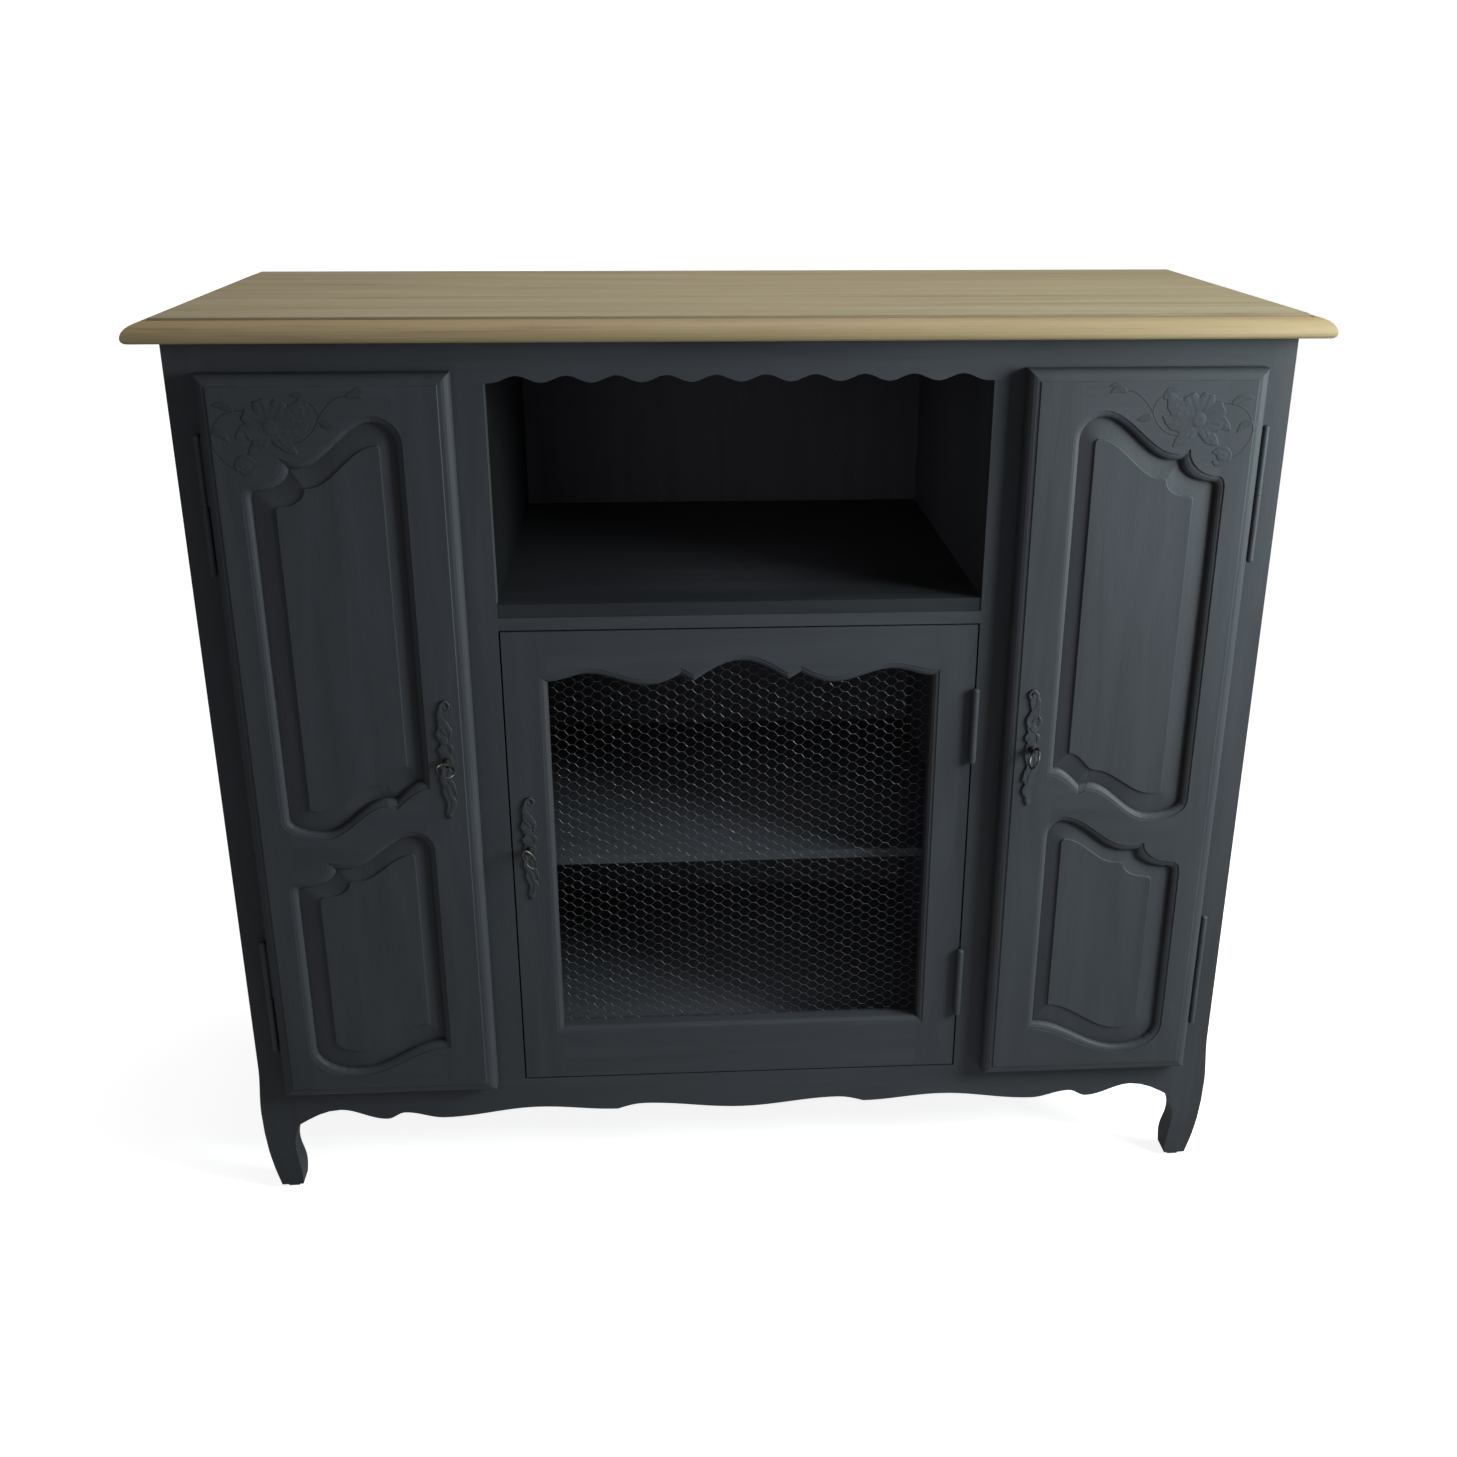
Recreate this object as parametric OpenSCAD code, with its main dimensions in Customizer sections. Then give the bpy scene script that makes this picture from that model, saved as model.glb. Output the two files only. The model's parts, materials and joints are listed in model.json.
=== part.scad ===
// Country sideboard: an open niche over a netted door, between two panelled doors.
// Front faces -Y, +Z up, origin on the floor under the middle of the whole piece.
// Helper outlines are drawn in the carcase's own frame: y = 0 is the face of the front frame.

/* [Carcase] */
// Width over the front posts
carcase_w = 1250; // [1190:5:1320]
// Depth from the face of the front frame to the back
carcase_d = 505; // [440:5:560]
// Width and depth of a corner post
post_s = 42; // [38:1:48]
// Floor to the lower edge of the centre door's opening
leg_h = 168; // [160:1:190]
// Thickness of the front frame
frame_t = 20; // [18:1:24]
// Height of the apron at its middle
apron_h = 54; // [44:1:60]
// Height of the rail under the top
top_rail_h = 47; // [42:1:60]
// Thickness of the side boards
side_t = 15; // [12:1:20]
// How far a side board stands back from the posts
side_setback = 4; // [2:0.5:8]
// Thickness of partitions and the bottom board
board_t = 18; // [15:1:22]
// Thickness of the back panel
back_t = 6; // [4:1:10]
// Height of the two back rails
back_rail_h = 40; // [30:1:60]

/* [Feet] */
// How far the knee of a front foot swells out
knee_out = 4; // [2:0.5:8]
// Height of the fullest part of the knee
knee_z = 128; // [115:1:140]
// How far the toe draws in at the floor
toe_in = 8.5; // [2:0.5:12]
// Width of the toe at the floor
toe_w = 28; // [20:1:30]
// Height of the fullest part of the calf
calf_z = 27; // [20:1:40]
// Width of the calf, seen from the front
calf_w = 38; // [32:0.5:42]
// Height of the ankle
ankle_z = 76; // [60:1:90]
// Width of the ankle, seen from the front
ankle_w = 35; // [28:0.5:40]
// Thickness of the ankle, from front to back
ankle_deep = 27; // [20:0.5:36]
// Rounding of the sole's edges
sole_r = 7; // [2:0.5:9]

/* [Top board] */
// Thickness of the top
top_t = 25; // [22:1:34]
// Overhang at the front and sides
top_over = 31; // [20:1:40]
// Width of the moulded edge
top_mould_w = 25; // [18:1:30]
// Depth of the small step where the moulding starts
top_step = 2.5; // [1:0.5:4]
// Radius of the rounded nose under the moulding
top_nose = 6; // [3:1:8]
// Width and depth of the quirk between the step and the round
top_quirk = 1.6; // [0.8:0.2:3]

/* [Centre bay] */
// Width of the niche and of the centre door's opening
centre_w = 567; // [520:1:600]
// Height of the centre door's opening
centre_h = 618; // [580:1:660]
// Height of the rail under the niche
mid_rail_h = 15; // [12:1:24]
// Thickness of the niche floor
niche_floor_t = 16; // [14:1:22]
// How far the niche floor's front edge stands behind the rail below it
floor_back = 1.2; // [0:0.2:3]
// Height of the niche
niche_h = 254; // [220:1:300]
// Depth of the small scallops over the niche
scallop_h = 8; // [4:0.5:12]
// Plain length at each end of the scallops
scallop_end = 8; // [4:1:20]
// Number of small scallops
scallop_n = 10; // [6:1:12]
// Width of the stiles between the bays
inner_stile_w = 50; // [44:1:60]

/* [Shelves] */
// Thickness of the centre shelf
centre_shelf_t = 12; // [10:1:18]
// Height of the centre shelf above the bottom board
centre_shelf_up = 271; // [200:1:340]
// Thickness of the side shelves
side_shelf_t = 16; // [12:1:20]
// Height of the lower side shelves above the bottom board
low_shelf_up = 290; // [220:1:340]
// Height of the upper side shelves above the bottom board
high_shelf_up = 570; // [480:1:640]
// How far shelves stand back behind the front frame
shelf_back = 26; // [24:1:60]
// Section of a shelf cleat
cleat_s = 12; // [8:1:16]

/* [Side doors] */
// Thickness of a side door
door_t = 22; // [20:1:26]
// How far a side door laps its post
lap_post = 7; // [5:1:12]
// How far a side door laps its inner stile
lap_stile = 15; // [10:1:20]
// How far a side door laps above and below
lap_rail = 14; // [8:1:16]
// How far they lap the bottom board's edge and the apron
lap_apron = 21; // [10:1:24]
// Lock stile, to the start of its moulding
lock_stile_w = 54; // [50:1:60]
// Hinge stile, to the start of its moulding
hinge_stile_w = 38.5; // [36:0.5:50]
// Door's top edge down to the peak of the upper opening
top_peak = 45; // [38:1:60]
// Door's lower edge up to the lowest point of the upper opening
upper_foot = 367; // [300:1:420]
// Door's lower edge up to the peak of the lower opening
lower_head = 375.5; // [320:0.5:400]
// Door's lower edge up to the lowest point of the lower opening
lower_foot = 30; // [18:1:40]
// Height of the wave that the rails' edges follow
rail_wave = 50; // [44:1:56]
// Raised field in from the lock stile's face
field_in_lock = 26; // [22:1:30]
// Raised field in from the hinge stile's face
field_in_hinge = 34; // [28:1:38]
// Raised field below the head of its opening
field_down = 33; // [28:1:40]
// Raised field above the foot of its opening
field_up = 36; // [30:1:42]
// Width of the moulding round the door's own edge
edge_mould_w = 13; // [8:1:14]
// Depth of the moulding round the door's own edge
edge_mould_d = 9; // [5:1:12]
// Width of the moulding round a panel
panel_mould_w = 8; // [6:1:10]
// Depth of the moulding round a panel
panel_mould_d = 7; // [4:1:8]
// Thickness of a panel where it sits in its groove
tongue_t = 5.5; // [4:0.5:7]
// How far the raised field stands below the frame
field_sunk = 4; // [2:0.5:6]
// Small step round the raised field
field_step = 1.6; // [0.8:0.2:3]

/* [Centre door] */
// Thickness of the centre door
centre_door_t = 19.5; // [18:0.5:22]
// Gap round the centre door
door_gap = 2; // [1.5:0.1:3]
// Stiles of the centre door, to the net opening
centre_stile_w = 51; // [46:1:60]
// Bottom rail of the centre door, to the net opening
centre_bottom_w = 74; // [60:1:90]
// Top rail of the centre door, at the middle hump
centre_top_w = 41; // [34:1:60]
// Height of the wave at the head of the net opening
net_wave = 29; // [20:1:34]
// Moulding round the net opening
centre_mould = 8; // [4:1:9]
// Thickness of the netting
net_t = 1.2; // [1:0.1:2]
// Width of a net gap across its flats
net_gap = 27; // [24:1:30]
// Width of the wire between two gaps
net_wire = 2; // [1.2:0.2:3]
// Section of the beads that hold the net
bead_s = 8; // [6:1:10]

/* [Hinges] */
// Length of a side door's hinge
side_hinge_l = 161; // [120:1:180]
// Radius of a side door's hinge barrel
side_barrel_r = 4; // [3.5:0.1:5]
// Hinge middle from the end of a side door
side_hinge_in = 145; // [110:1:200]
// Length of a centre door's hinge
centre_hinge_l = 98; // [80:1:120]
// Radius of a centre door's hinge barrel
centre_barrel_r = 4.5; // [3.5:0.1:5]
// Hinge middle from the end of the centre door
centre_hinge_in = 128; // [90:1:160]
// Radius of a hinge pin
pin_r = 2; // [1.6:0.1:2.4]
// Thickness of a hinge leaf
leaf_t = 1.8; // [1.2:0.1:2.4]
// How far a leaf reaches into the wood
leaf_in = 24; // [16:1:26]

/* [Locks and keys] */
// Keyhole from a side door's lock edge
side_key_in = 32; // [30:1:38]
// Keyhole above a side door's lower edge
side_key_up = 468; // [440:1:480]
// Keyhole from the centre door's lock edge
centre_key_in = 21; // [20:0.5:24]
// Keyhole above the centre door's lower edge
centre_key_up = 333; // [300:1:360]
// How far a key stands out in front of its door
key_out = 30; // [24:1:36]
// Radius of a key's shank
shank_r = 3; // [2.5:0.1:3.5]
// Width of a key's bow
bow_w = 22; // [20:1:30]
// Length of a key's bow
bow_l = 18; // [14:1:20]
// Width of the metal in a key's bow
bow_rim = 3; // [2.6:0.1:4.5]
// Thickness of a key's bow
bow_t = 3; // [2.5:0.1:4]
// Reach of a key's bit from the key's middle
bit_reach = 8; // [6:0.5:9]
// How far a lock's bolt is thrown
throw = 8; // [5:0.5:9]
// Height of a bolt
bolt_h = 12; // [8:1:14]
// Thickness of a bolt
bolt_t = 5; // [4:0.5:6]
// Thickness of a lock case
case_t = 10; // [9.5:0.5:12]
// Width of a lock case
case_w = 34; // [32:1:36]
// Height of a lock case
case_h = 56; // [54:1:70]
// Length of a side door's escutcheon
side_plate_l = 150; // [130:1:160]
// Length of the centre door's escutcheon
centre_plate_l = 138; // [120:1:150]
// Width of an escutcheon
plate_w = 16; // [14:1:22]
// Thickness of an escutcheon
plate_t = 2; // [1.2:0.2:3]
// How far the left key is turned from upright
left_turn = 75; // [0:5:90]
// How far the right key is turned from upright
right_turn = -25; // [-90:5:0]
// How far the centre key is turned from upright
centre_turn = 40; // [0:5:90]

/* [Clearances] */
// Gap between a side door and the frame behind it
door_air = 0.5; // [0.3:0.1:1]
// Gap round a panel in its groove
panel_air = 0.3; // [0.1:0.1:0.5]
// Running clearance of pins and shanks
run_air = 0.06; // [0.04:0.01:0.1]
// Gap round a bolt in its case, and between hinge halves
slide_air = 0.2; // [0.1:0.05:0.4]
// Gap between a lock case and the frame beside it
case_air = 2.5; // [2:0.5:4]
// Gap between a side door's edge and its hinge barrel
barrel_air = 1.5; // [0.6:0.1:2]
// Gap round a tenon in its mortise
tenon_air = 0.1; // [0.05:0.05:0.3]

/* [Hidden] */

$fn = 48;
eps = 0.01;
paint = [0.20, 0.225, 0.25];
oak = [0.60, 0.52, 0.38];
wire = [0.55, 0.56, 0.58];
iron = [0.24, 0.24, 0.26];
steel = [0.5, 0.5, 0.5];

// Heights, from the floor up
bay_z = leg_h;
mid_z = bay_z + centre_h;
floor_z = mid_z + mid_rail_h;
niche_z = floor_z + niche_floor_t;
rail_z = niche_z + niche_h;
body_h = rail_z + top_rail_h;
board_z = bay_z + board_t;

// Places across the front
half_w = carcase_w / 2;
half_c = centre_w / 2;
post_x = half_w - post_s;
stile_x = half_c + inner_stile_w;
side_in_x = half_w - side_setback - side_t;

// The side door: its own frame has u = 0 at the lock edge and v = 0 at the lower edge
door_x = stile_x - lap_stile;
door_w = post_x + lap_post - door_x;
door_z = board_z - lap_apron;
door_h = rail_z + lap_rail - door_z;
door_face = -door_air - door_t;

// How far the keys reach in front of the carcase, and where the carcase's face lies
reach = -door_face + key_out;
front_y = -(carcase_d - reach) / 2;

// Kinds of stretch in an outline: straight, level at both ends, level at the start,
// level at the end, upright then level, level then upright
LINE = 0;
WAVE = 1;
LEAVE = 2;
LAND = 3;
SHOULDER = 4;
CORNER = 5;
STEPS = [1, 11, 4, 6, 6, 4];

function ease(kind, t) =
    kind == LINE ? [t, t]
    : kind == WAVE ? [t, (1 - cos(180 * t)) / 2]
    : kind == LEAVE ? [t, 1 - cos(90 * t)]
    : kind == LAND ? [t, sin(90 * t)]
    : kind == SHOULDER ? [1 - cos(90 * t), sin(90 * t)]
    : [sin(90 * t), 1 - cos(90 * t)];

// Turns a list of [across, up, kind of stretch that arrives there] into points
function trace(stops) = [[stops[0][0], stops[0][1]],
    for (i = [1 : len(stops) - 1])
    let (a = stops[i - 1], b = stops[i], n = STEPS[b[2]])
    for (k = [1 : n])
    let (e = ease(b[2], k / n))
    [a[0] + (b[0] - a[0]) * e[0], a[1] + (b[1] - a[1]) * e[1]]];

function swap(points) = [for (p = points) [p[1], p[0]]];
function backwards(points) = [for (i = [len(points) - 1 : -1 : 0]) points[i]];
function mirrored(points) = [for (i = [len(points) - 1 : -1 : 0]) [-points[i][0], points[i][1]]];

// Puts the carcase's own frame in place
module placed() {
    translate([0, front_y, 0]) children();
}

// A box from its low corner to its high corner
module box(low, high) {
    translate(low) cube(high - low);
}

// An outline in x and z, from y = a to y = b
module slab(points, a, b) {
    translate([0, b, 0]) rotate([90, 0, 0]) linear_extrude(b - a) polygon(points);
}

// A solid through rings of equal count, each [outline, y], front ring first
function turning(a, b, c) = (b[0] - a[0]) * (c[1] - a[1]) - (b[1] - a[1]) * (c[0] - a[0]);
function holds(p, a, b, c) = turning(a, b, p) <= 0 && turning(b, c, p) <= 0 && turning(c, a, p) <= 0;
function is_ear(pts, ids, i) = let (n = len(ids), a = pts[ids[(i + n - 1) % n]], b = pts[ids[i]], c = pts[ids[(i + 1) % n]])
    turning(a, b, c) < -0.001 && len([for (k = [2 : n - 2]) if (holds(pts[ids[(i + k) % n]], a, b, c)) k]) == 0;
function span(pts, ids, i) = let (n = len(ids)) norm(pts[ids[(i + 1) % n]] - pts[ids[(i + n - 1) % n]]);
function triangles(pts, ids) = len(ids) == 3 ? [ids] : let (n = len(ids),
    ears = [for (i = [0 : n - 1]) if (is_ear(pts, ids, i)) i],
    shortest = min([for (i = ears) span(pts, ids, i)]),
    i = [for (e = ears) if (span(pts, ids, e) <= shortest) e][0])
    concat([[ids[(i + n - 1) % n], ids[i], ids[(i + 1) % n]]], triangles(pts, [for (k = [0 : n - 1]) if (k != i) ids[k]]));

module loft(rings) {
    n = len(rings[0][0]);
    last = len(rings) - 1;
    polyhedron(
        points = [for (r = rings) for (p = r[0]) [p[0], r[1], p[1]]],
        faces = concat(
            triangles(rings[0][0], [for (i = [0 : n - 1]) i]),
            [for (r = [0 : last - 1]) for (i = [0 : n - 1])
                let (j = (i + 1) % n) each [
                    [r * n + j, r * n + i, (r + 1) * n + i],
                    [r * n + j, (r + 1) * n + i, (r + 1) * n + j]]],
            [for (t = triangles(rings[last][0], [for (i = [0 : n - 1]) i]))
                [last * n + t[2], last * n + t[1], last * n + t[0]]]),
        convexity = 8);
}

// Feet. Outline of a post with its foot: distance in from the outer face against height,
// the knee starting at height knee_top
knee_start = bay_z + 32;
cove_top = bay_z - 0.75 * apron_h;
function post_outer(start, knee) = swap(trace(concat([[body_h, 0], [start, 0, LINE]],
    knee > 0 ? [[knee_z, -knee, WAVE]] : [], [[sole_r, toe_in, LEAVE], [0, toe_in + sole_r, SHOULDER]])));
function post_inner(toe, calf, ankle, top) = swap(trace([[0, toe - sole_r], [sole_r, toe, CORNER], [calf_z, calf, LAND],
    [ankle_z, ankle, WAVE], [top, post_s, WAVE], [body_h, post_s, LINE]]));
// Seen from the front, and from the side for a front and a back post
function front_outline() = concat(post_outer(knee_start, knee_out),
    post_inner(toe_in + toe_w, calf_w, ankle_w, bay_z - apron_h));
function cove() = post_inner(toe_in + toe_w, toe_in + toe_w + 1, ankle_deep, cove_top);
function side_outline(front) = concat(front ? post_outer(ankle_z, 0) : [[0, body_h], [0, sole_r / 2], [sole_r / 2, 0]], cove());

module post_blank(front) {
    side = [for (p = front_outline()) [half_w - p[0], p[1]]];
    depth = side_outline(front);
    intersection() {
        slab(side, -2 * post_s, 3 * post_s);
        rotate([90, 0, 90]) linear_extrude(carcase_w) polygon(depth);
    }
}

// Tenons of the front rails, and the groove for a side board
tenon_t = 9;
tenon_l = 26;
tenon_shoulder = 8;
board_tongue = 6;

module rail_tenon(z0, z1, air) {
    box([post_x - eps, (frame_t - tenon_t) / 2 - air, z0 + tenon_shoulder - air],
        [post_x + tenon_l + air, (frame_t + tenon_t) / 2 + air, z1 - tenon_shoulder + air]);
}

module side_groove(y0, y1) {
    box([side_in_x + side_t / 3 - tenon_air, y0, panel_low_z - tenon_air],
        [side_in_x + side_t * 2 / 3 + tenon_air, y1, body_h + 1]);
}

apron_end_z = bay_z - 1.13 * apron_h;
panel_low_z = bay_z - 26;

// Slot in a post for one frame leaf of a side door's hinge
axis_x = door_x + door_w + barrel_air + side_barrel_r;
axis_y = door_face + door_t / 2;
half_knuckle = side_hinge_l / 2;
low_hinge_z = door_z + side_hinge_in;
high_hinge_z = door_z + door_h - side_hinge_in;

module right_front_post_solid() {
    difference() {
        post_blank(true);
        rail_tenon(rail_z, body_h, tenon_air);
        rail_tenon(apron_end_z, bay_z, tenon_air);
        side_groove(post_s - board_tongue - tenon_air, post_s + 1);
        for (z = [low_hinge_z, high_hinge_z])
            box([axis_x - leaf_t / 2, -1, z - half_knuckle], [axis_x + leaf_t / 2, leaf_in, z - slide_air]);
    }
}

module right_back_post_solid() {
    difference() {
        translate([0, carcase_d, 0]) mirror([0, 1, 0]) post_blank(false);
        side_groove(carcase_d - post_s - 1, carcase_d - post_s + board_tongue + tenon_air);
    }
}

// A side board with a shallow arch below, tongued into both posts
arch_rise = 16;
arch_run = 60;

module right_side_panel_solid() {
    y0 = post_s;
    y1 = carcase_d - post_s;
    outline = concat([[y1, body_h], [y0, body_h]],
        trace([[y0, panel_low_z - arch_rise], [y0 + arch_run, panel_low_z, LAND],
            [y1 - arch_run, panel_low_z, LINE], [y1, panel_low_z - arch_rise, LEAVE]]));
    translate([side_in_x, 0, 0]) rotate([90, 0, 90]) linear_extrude(side_t) polygon(outline);
    for (y = [y0 - board_tongue, y1 - eps])
        box([side_in_x + side_t / 3, y, panel_low_z], [side_in_x + side_t * 2 / 3, y + board_tongue + eps, body_h]);
}

// Front rails and stiles
stub_l = 10;

module stub_tenon(z0, z1, air) {
    for (s = [-1, 1])
        box([s * (stile_x + half_c) / 2 - inner_stile_w / 4 - air, (frame_t - tenon_t) / 2 - air, z0 - air],
            [s * (stile_x + half_c) / 2 + inner_stile_w / 4 + air, (frame_t + tenon_t) / 2 + air, z1 + air]);
}

// Lower edge of the top rail: small scallops cut up into it across the niche
function niche_edge() = let (run = centre_w - 2 * scallop_end, steps = 8, count = scallop_n * steps)
    concat([[-half_c, rail_z]],
        [for (i = [0 : count]) [run * (i / count - 0.5), rail_z + scallop_h * (1 - cos(360 * i / steps)) / 2]],
        [[half_c, rail_z]]);

module top_rail() {
    color(paint) placed() difference() {
        union() {
            slab(concat([[post_x, rail_z], [post_x, body_h], [-post_x, body_h], [-post_x, rail_z]],
                niche_edge()), 0, frame_t);
            for (m = [0, 1]) mirror([m, 0, 0]) rail_tenon(rail_z, body_h, 0);
        }
        stub_tenon(rail_z - 1, rail_z + stub_l, tenon_air);
    }
}

// Lower edge of the apron from the middle out to the right post: a share of the way out against a share
// of the apron's height down
function apron_half() = trace([for (p = [[0, 1], [0.221, 0.815, WAVE], [0.281, 0.954, LEAVE], [0.46, 0.82, WAVE],
    [0.672, 1.037, WAVE], [0.76, 0.856, WAVE], [0.8, 1.022, WAVE], [0.904, 0.72, WAVE], [1, 1.13, LEAVE]])
    concat([p[0] * post_x, bay_z - p[1] * apron_h], len(p) > 2 ? [p[2]] : [])]);

module apron_rail() {
    half = apron_half();
    outline = concat(mirrored([for (i = [1 : len(half) - 1]) half[i]]), half, [[post_x, bay_z], [-post_x, bay_z]]);
    color(paint) placed() difference() {
        union() {
            slab(outline, 0, frame_t);
            for (m = [0, 1]) mirror([m, 0, 0]) rail_tenon(apron_end_z, bay_z, 0);
        }
        stub_tenon(bay_z - stub_l, bay_z + 1, tenon_air);
    }
}

// Bolt heights
bolt_z = bit_reach + 2 + bolt_h / 2;
side_key_z = door_z + side_key_up;
side_bolt_y = -door_air + case_t / 2;
bolt_hole = throw + 2;
side_backset = side_key_in - lap_stile - case_air;
centre_backset = centre_key_in + door_gap - case_air;

module right_inner_stile_solid() {
    difference() {
        union() {
            box([half_c, 0, bay_z], [stile_x, frame_t, rail_z]);
            intersection() {
                union() {
                    stub_tenon(rail_z - eps, rail_z + stub_l, 0);
                    stub_tenon(bay_z - stub_l, bay_z + eps, 0);
                }
                box([0, 0, 0], [half_w, frame_t, body_h]);
            }
        }
        box([stile_x - bolt_hole, side_bolt_y - bolt_t / 2 - 2 * slide_air, side_key_z + bolt_z - bolt_h / 2 - 2 * slide_air],
            [stile_x + 1, side_bolt_y + bolt_t / 2 + 2 * slide_air, side_key_z + bolt_z + bolt_h / 2 + 2 * slide_air]);
    }
}

module right_inner_stile() {
    color(paint) placed() difference() {
        right_inner_stile_solid();
        for (z = centre_hinge_z) box([half_c - 1, -1, z - centre_hinge_l / 2],
            [centre_axis_x + slide_air / 2 + leaf_t, frame_t - 2, z - slide_air]);
    }
}

module left_inner_stile() {
    color(paint) placed() mirror([1, 0, 0]) right_inner_stile_solid();
}

module mid_rail() {
    color(paint) placed() box([-half_c, 0, mid_z], [half_c, frame_t, floor_z]);
}

module niche_floor() {
    color(paint) placed() box([-half_c, floor_back, floor_z], [half_c, carcase_d - back_t, niche_z]);
}

module top_board() {
    n = 7;
    drop = top_t - top_step - top_nose;
    // section of the moulded edge: distance in from the nose against height
    edge = concat([for (i = [0 : 3]) [top_nose * (1 - sin(30 * i)), top_nose * (1 - cos(30 * i))]],
        [for (i = [1 : n]) [(top_mould_w - top_quirk) * (1 - cos(90 * i / n)), top_nose + drop * sin(90 * i / n)]],
        [[top_mould_w - top_quirk / 3, top_nose + drop - top_quirk], [top_mould_w, top_t]]);
    x1 = half_w + top_over;
    section_x = concat([for (p = edge) [x1 - p[0], p[1]]], [for (p = backwards(edge)) [p[0] - x1, p[1]]]);
    section_y = concat([[carcase_d, top_t], [carcase_d, 0]], [for (p = edge) [p[0] - top_over, p[1]]]);
    color(oak) placed() translate([0, 0, body_h]) intersection() {
        translate([0, carcase_d, 0]) rotate([90, 0, 0]) linear_extrude(carcase_d + top_over) polygon(section_x);
        translate([-x1, 0, 0]) rotate([90, 0, 90]) linear_extrude(2 * x1) polygon(section_y);
    }
}

// Space taken by the back rails, with the partitions cut round it
rail_back_y = carcase_d - back_t;

module back_rail(z0) {
    box([-post_x, rail_back_y - frame_t, z0], [post_x, rail_back_y, z0 + back_rail_h]);
}

module right_partition_solid() {
    difference() {
        box([half_c, frame_t, board_z], [half_c + board_t, rail_back_y, body_h]);
        back_rail(body_h - back_rail_h);
    }
}

module left_partition() {
    color(paint) placed() difference() {
        mirror([1, 0, 0]) right_partition_solid();
        box([-half_c - bolt_hole, centre_bolt_y - bolt_t / 2 - 2 * slide_air, centre_key_z + bolt_z - bolt_h / 2 - 2 * slide_air],
            [-half_c + 1, centre_bolt_y + bolt_t / 2 + 2 * slide_air, centre_key_z + bolt_z + bolt_h / 2 + 2 * slide_air]);
    }
}

module bottom_board() {
    color(paint) placed() difference() {
        box([-side_in_x, 0, bay_z], [side_in_x, rail_back_y, board_z]);
        box([-half_c - inner_stile_w, -1, bay_z - 1], [half_c + inner_stile_w, frame_t, board_z + 1]);
        for (s = [-1, 1], y = [-1, carcase_d - post_s])
            translate([s * (post_x + post_s / 2), y + (post_s + 1) / 2, bay_z + board_t / 2])
                cube([post_s, post_s + 1, board_t + 2], center = true);
    }
}

module back_panel() {
    color(paint) placed() box([-post_x, rail_back_y, bay_z], [post_x, carcase_d, body_h]);
}

// Shelves and their cleats
module centre_shelf() {
    color(paint) placed() box([-half_c, frame_t + shelf_back, board_z + centre_shelf_up],
        [half_c, rail_back_y, board_z + centre_shelf_up + centre_shelf_t]);
}

module right_shelves_solid() {
    for (up = [low_shelf_up, high_shelf_up]) difference() {
        box([half_c + board_t, frame_t + shelf_back, board_z + up], [side_in_x, rail_back_y, board_z + up + side_shelf_t]);
        box([post_x, carcase_d - post_s, board_z + up - 1], [half_w, carcase_d, board_z + up + side_shelf_t + 1]);
    }
}

module cleat(x0, up) {
    box([x0, frame_t + shelf_back + cleat_s, board_z + up - cleat_s],
        [x0 + cleat_s, carcase_d - post_s - cleat_s, board_z + up]);
}

module shelf_cleats() {
    color(paint) placed() for (m = [0, 1]) mirror([m, 0, 0]) {
        cleat(half_c - cleat_s, centre_shelf_up);
        for (up = [low_shelf_up, high_shelf_up]) {
            cleat(half_c + board_t, up);
            cleat(side_in_x - cleat_s, up);
        }
    }
}

// Side doors. Places across the door, from its lock edge
sight_lock = lock_stile_w + panel_mould_w;
sight_hinge = door_w - hinge_stile_w - panel_mould_w;
open_w = door_w - lock_stile_w - hinge_stile_w;

// Upper opening, drawn in by d from the face line: up from the door's lower edge

function upper_outline(d) = let (x0 = lock_stile_w, x1 = door_w - hinge_stile_w, z1 = door_h - top_peak,
    z0 = upper_foot, h = rail_wave)
    trace([
        [x0 + d, z1 - 0.6 * h - d / 2],
        [x0 + 0.184 * open_w, z1 - d, SHOULDER],
        [x0 + 0.675 * open_w - d / 2, z1 - 0.99 * h - d, WAVE],
        [x0 + 0.753 * open_w - d, z1 - 0.88 * h - 1.6 * d, LEAVE],
        [x0 + 0.955 * open_w - d / 2, z1 - 1.506 * h - d, SHOULDER],
        [x1 - d, z1 - 1.78 * h - d / 3, CORNER],
        [x1 - d, z0 + 0.52 * h, LINE],
        [x0 + 0.73 * open_w, z0 + d, SHOULDER],
        [x0 + 0.28 * open_w + d / 3, z0 + 0.87 * h + d, WAVE],
        [x0 + 0.228 * open_w, z0 + 0.77 * h + 1.4 * d, LINE],
        [x0 + d, z0 + 1.29 * h + d, LAND]]);

// Raised field of the upper panel, with as many points as the opening
function upper_field(d) = let (x0 = lock_stile_w + field_in_lock + d, x1 = door_w - hinge_stile_w - field_in_hinge - d,
    w = x1 - x0, z1 = door_h - top_peak - field_down - d, z0 = upper_foot + field_up + d, h = rail_wave)
    trace([
        [x0, z1 - 0.1 * h],
        [x0 + 0.03 * w, z1, SHOULDER],
        [x0 + 0.69 * w, z1 - 0.93 * h, WAVE],
        [x0 + 0.72 * w, z1 - 0.95 * h, LEAVE],
        [x0 + 0.95 * w, z1 - 1.34 * h, SHOULDER],
        [x1, z1 - 1.42 * h, CORNER],
        [x1, z0 + 0.08 * h, LINE],
        [x0 + 0.9 * w, z0, SHOULDER],
        [x0 + 0.27 * w, z0 + 0.66 * h, WAVE],
        [x0 + 0.22 * w, z0 + 0.72 * h, LINE],
        [x0, z0 + 1.12 * h, LAND]]);

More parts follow.
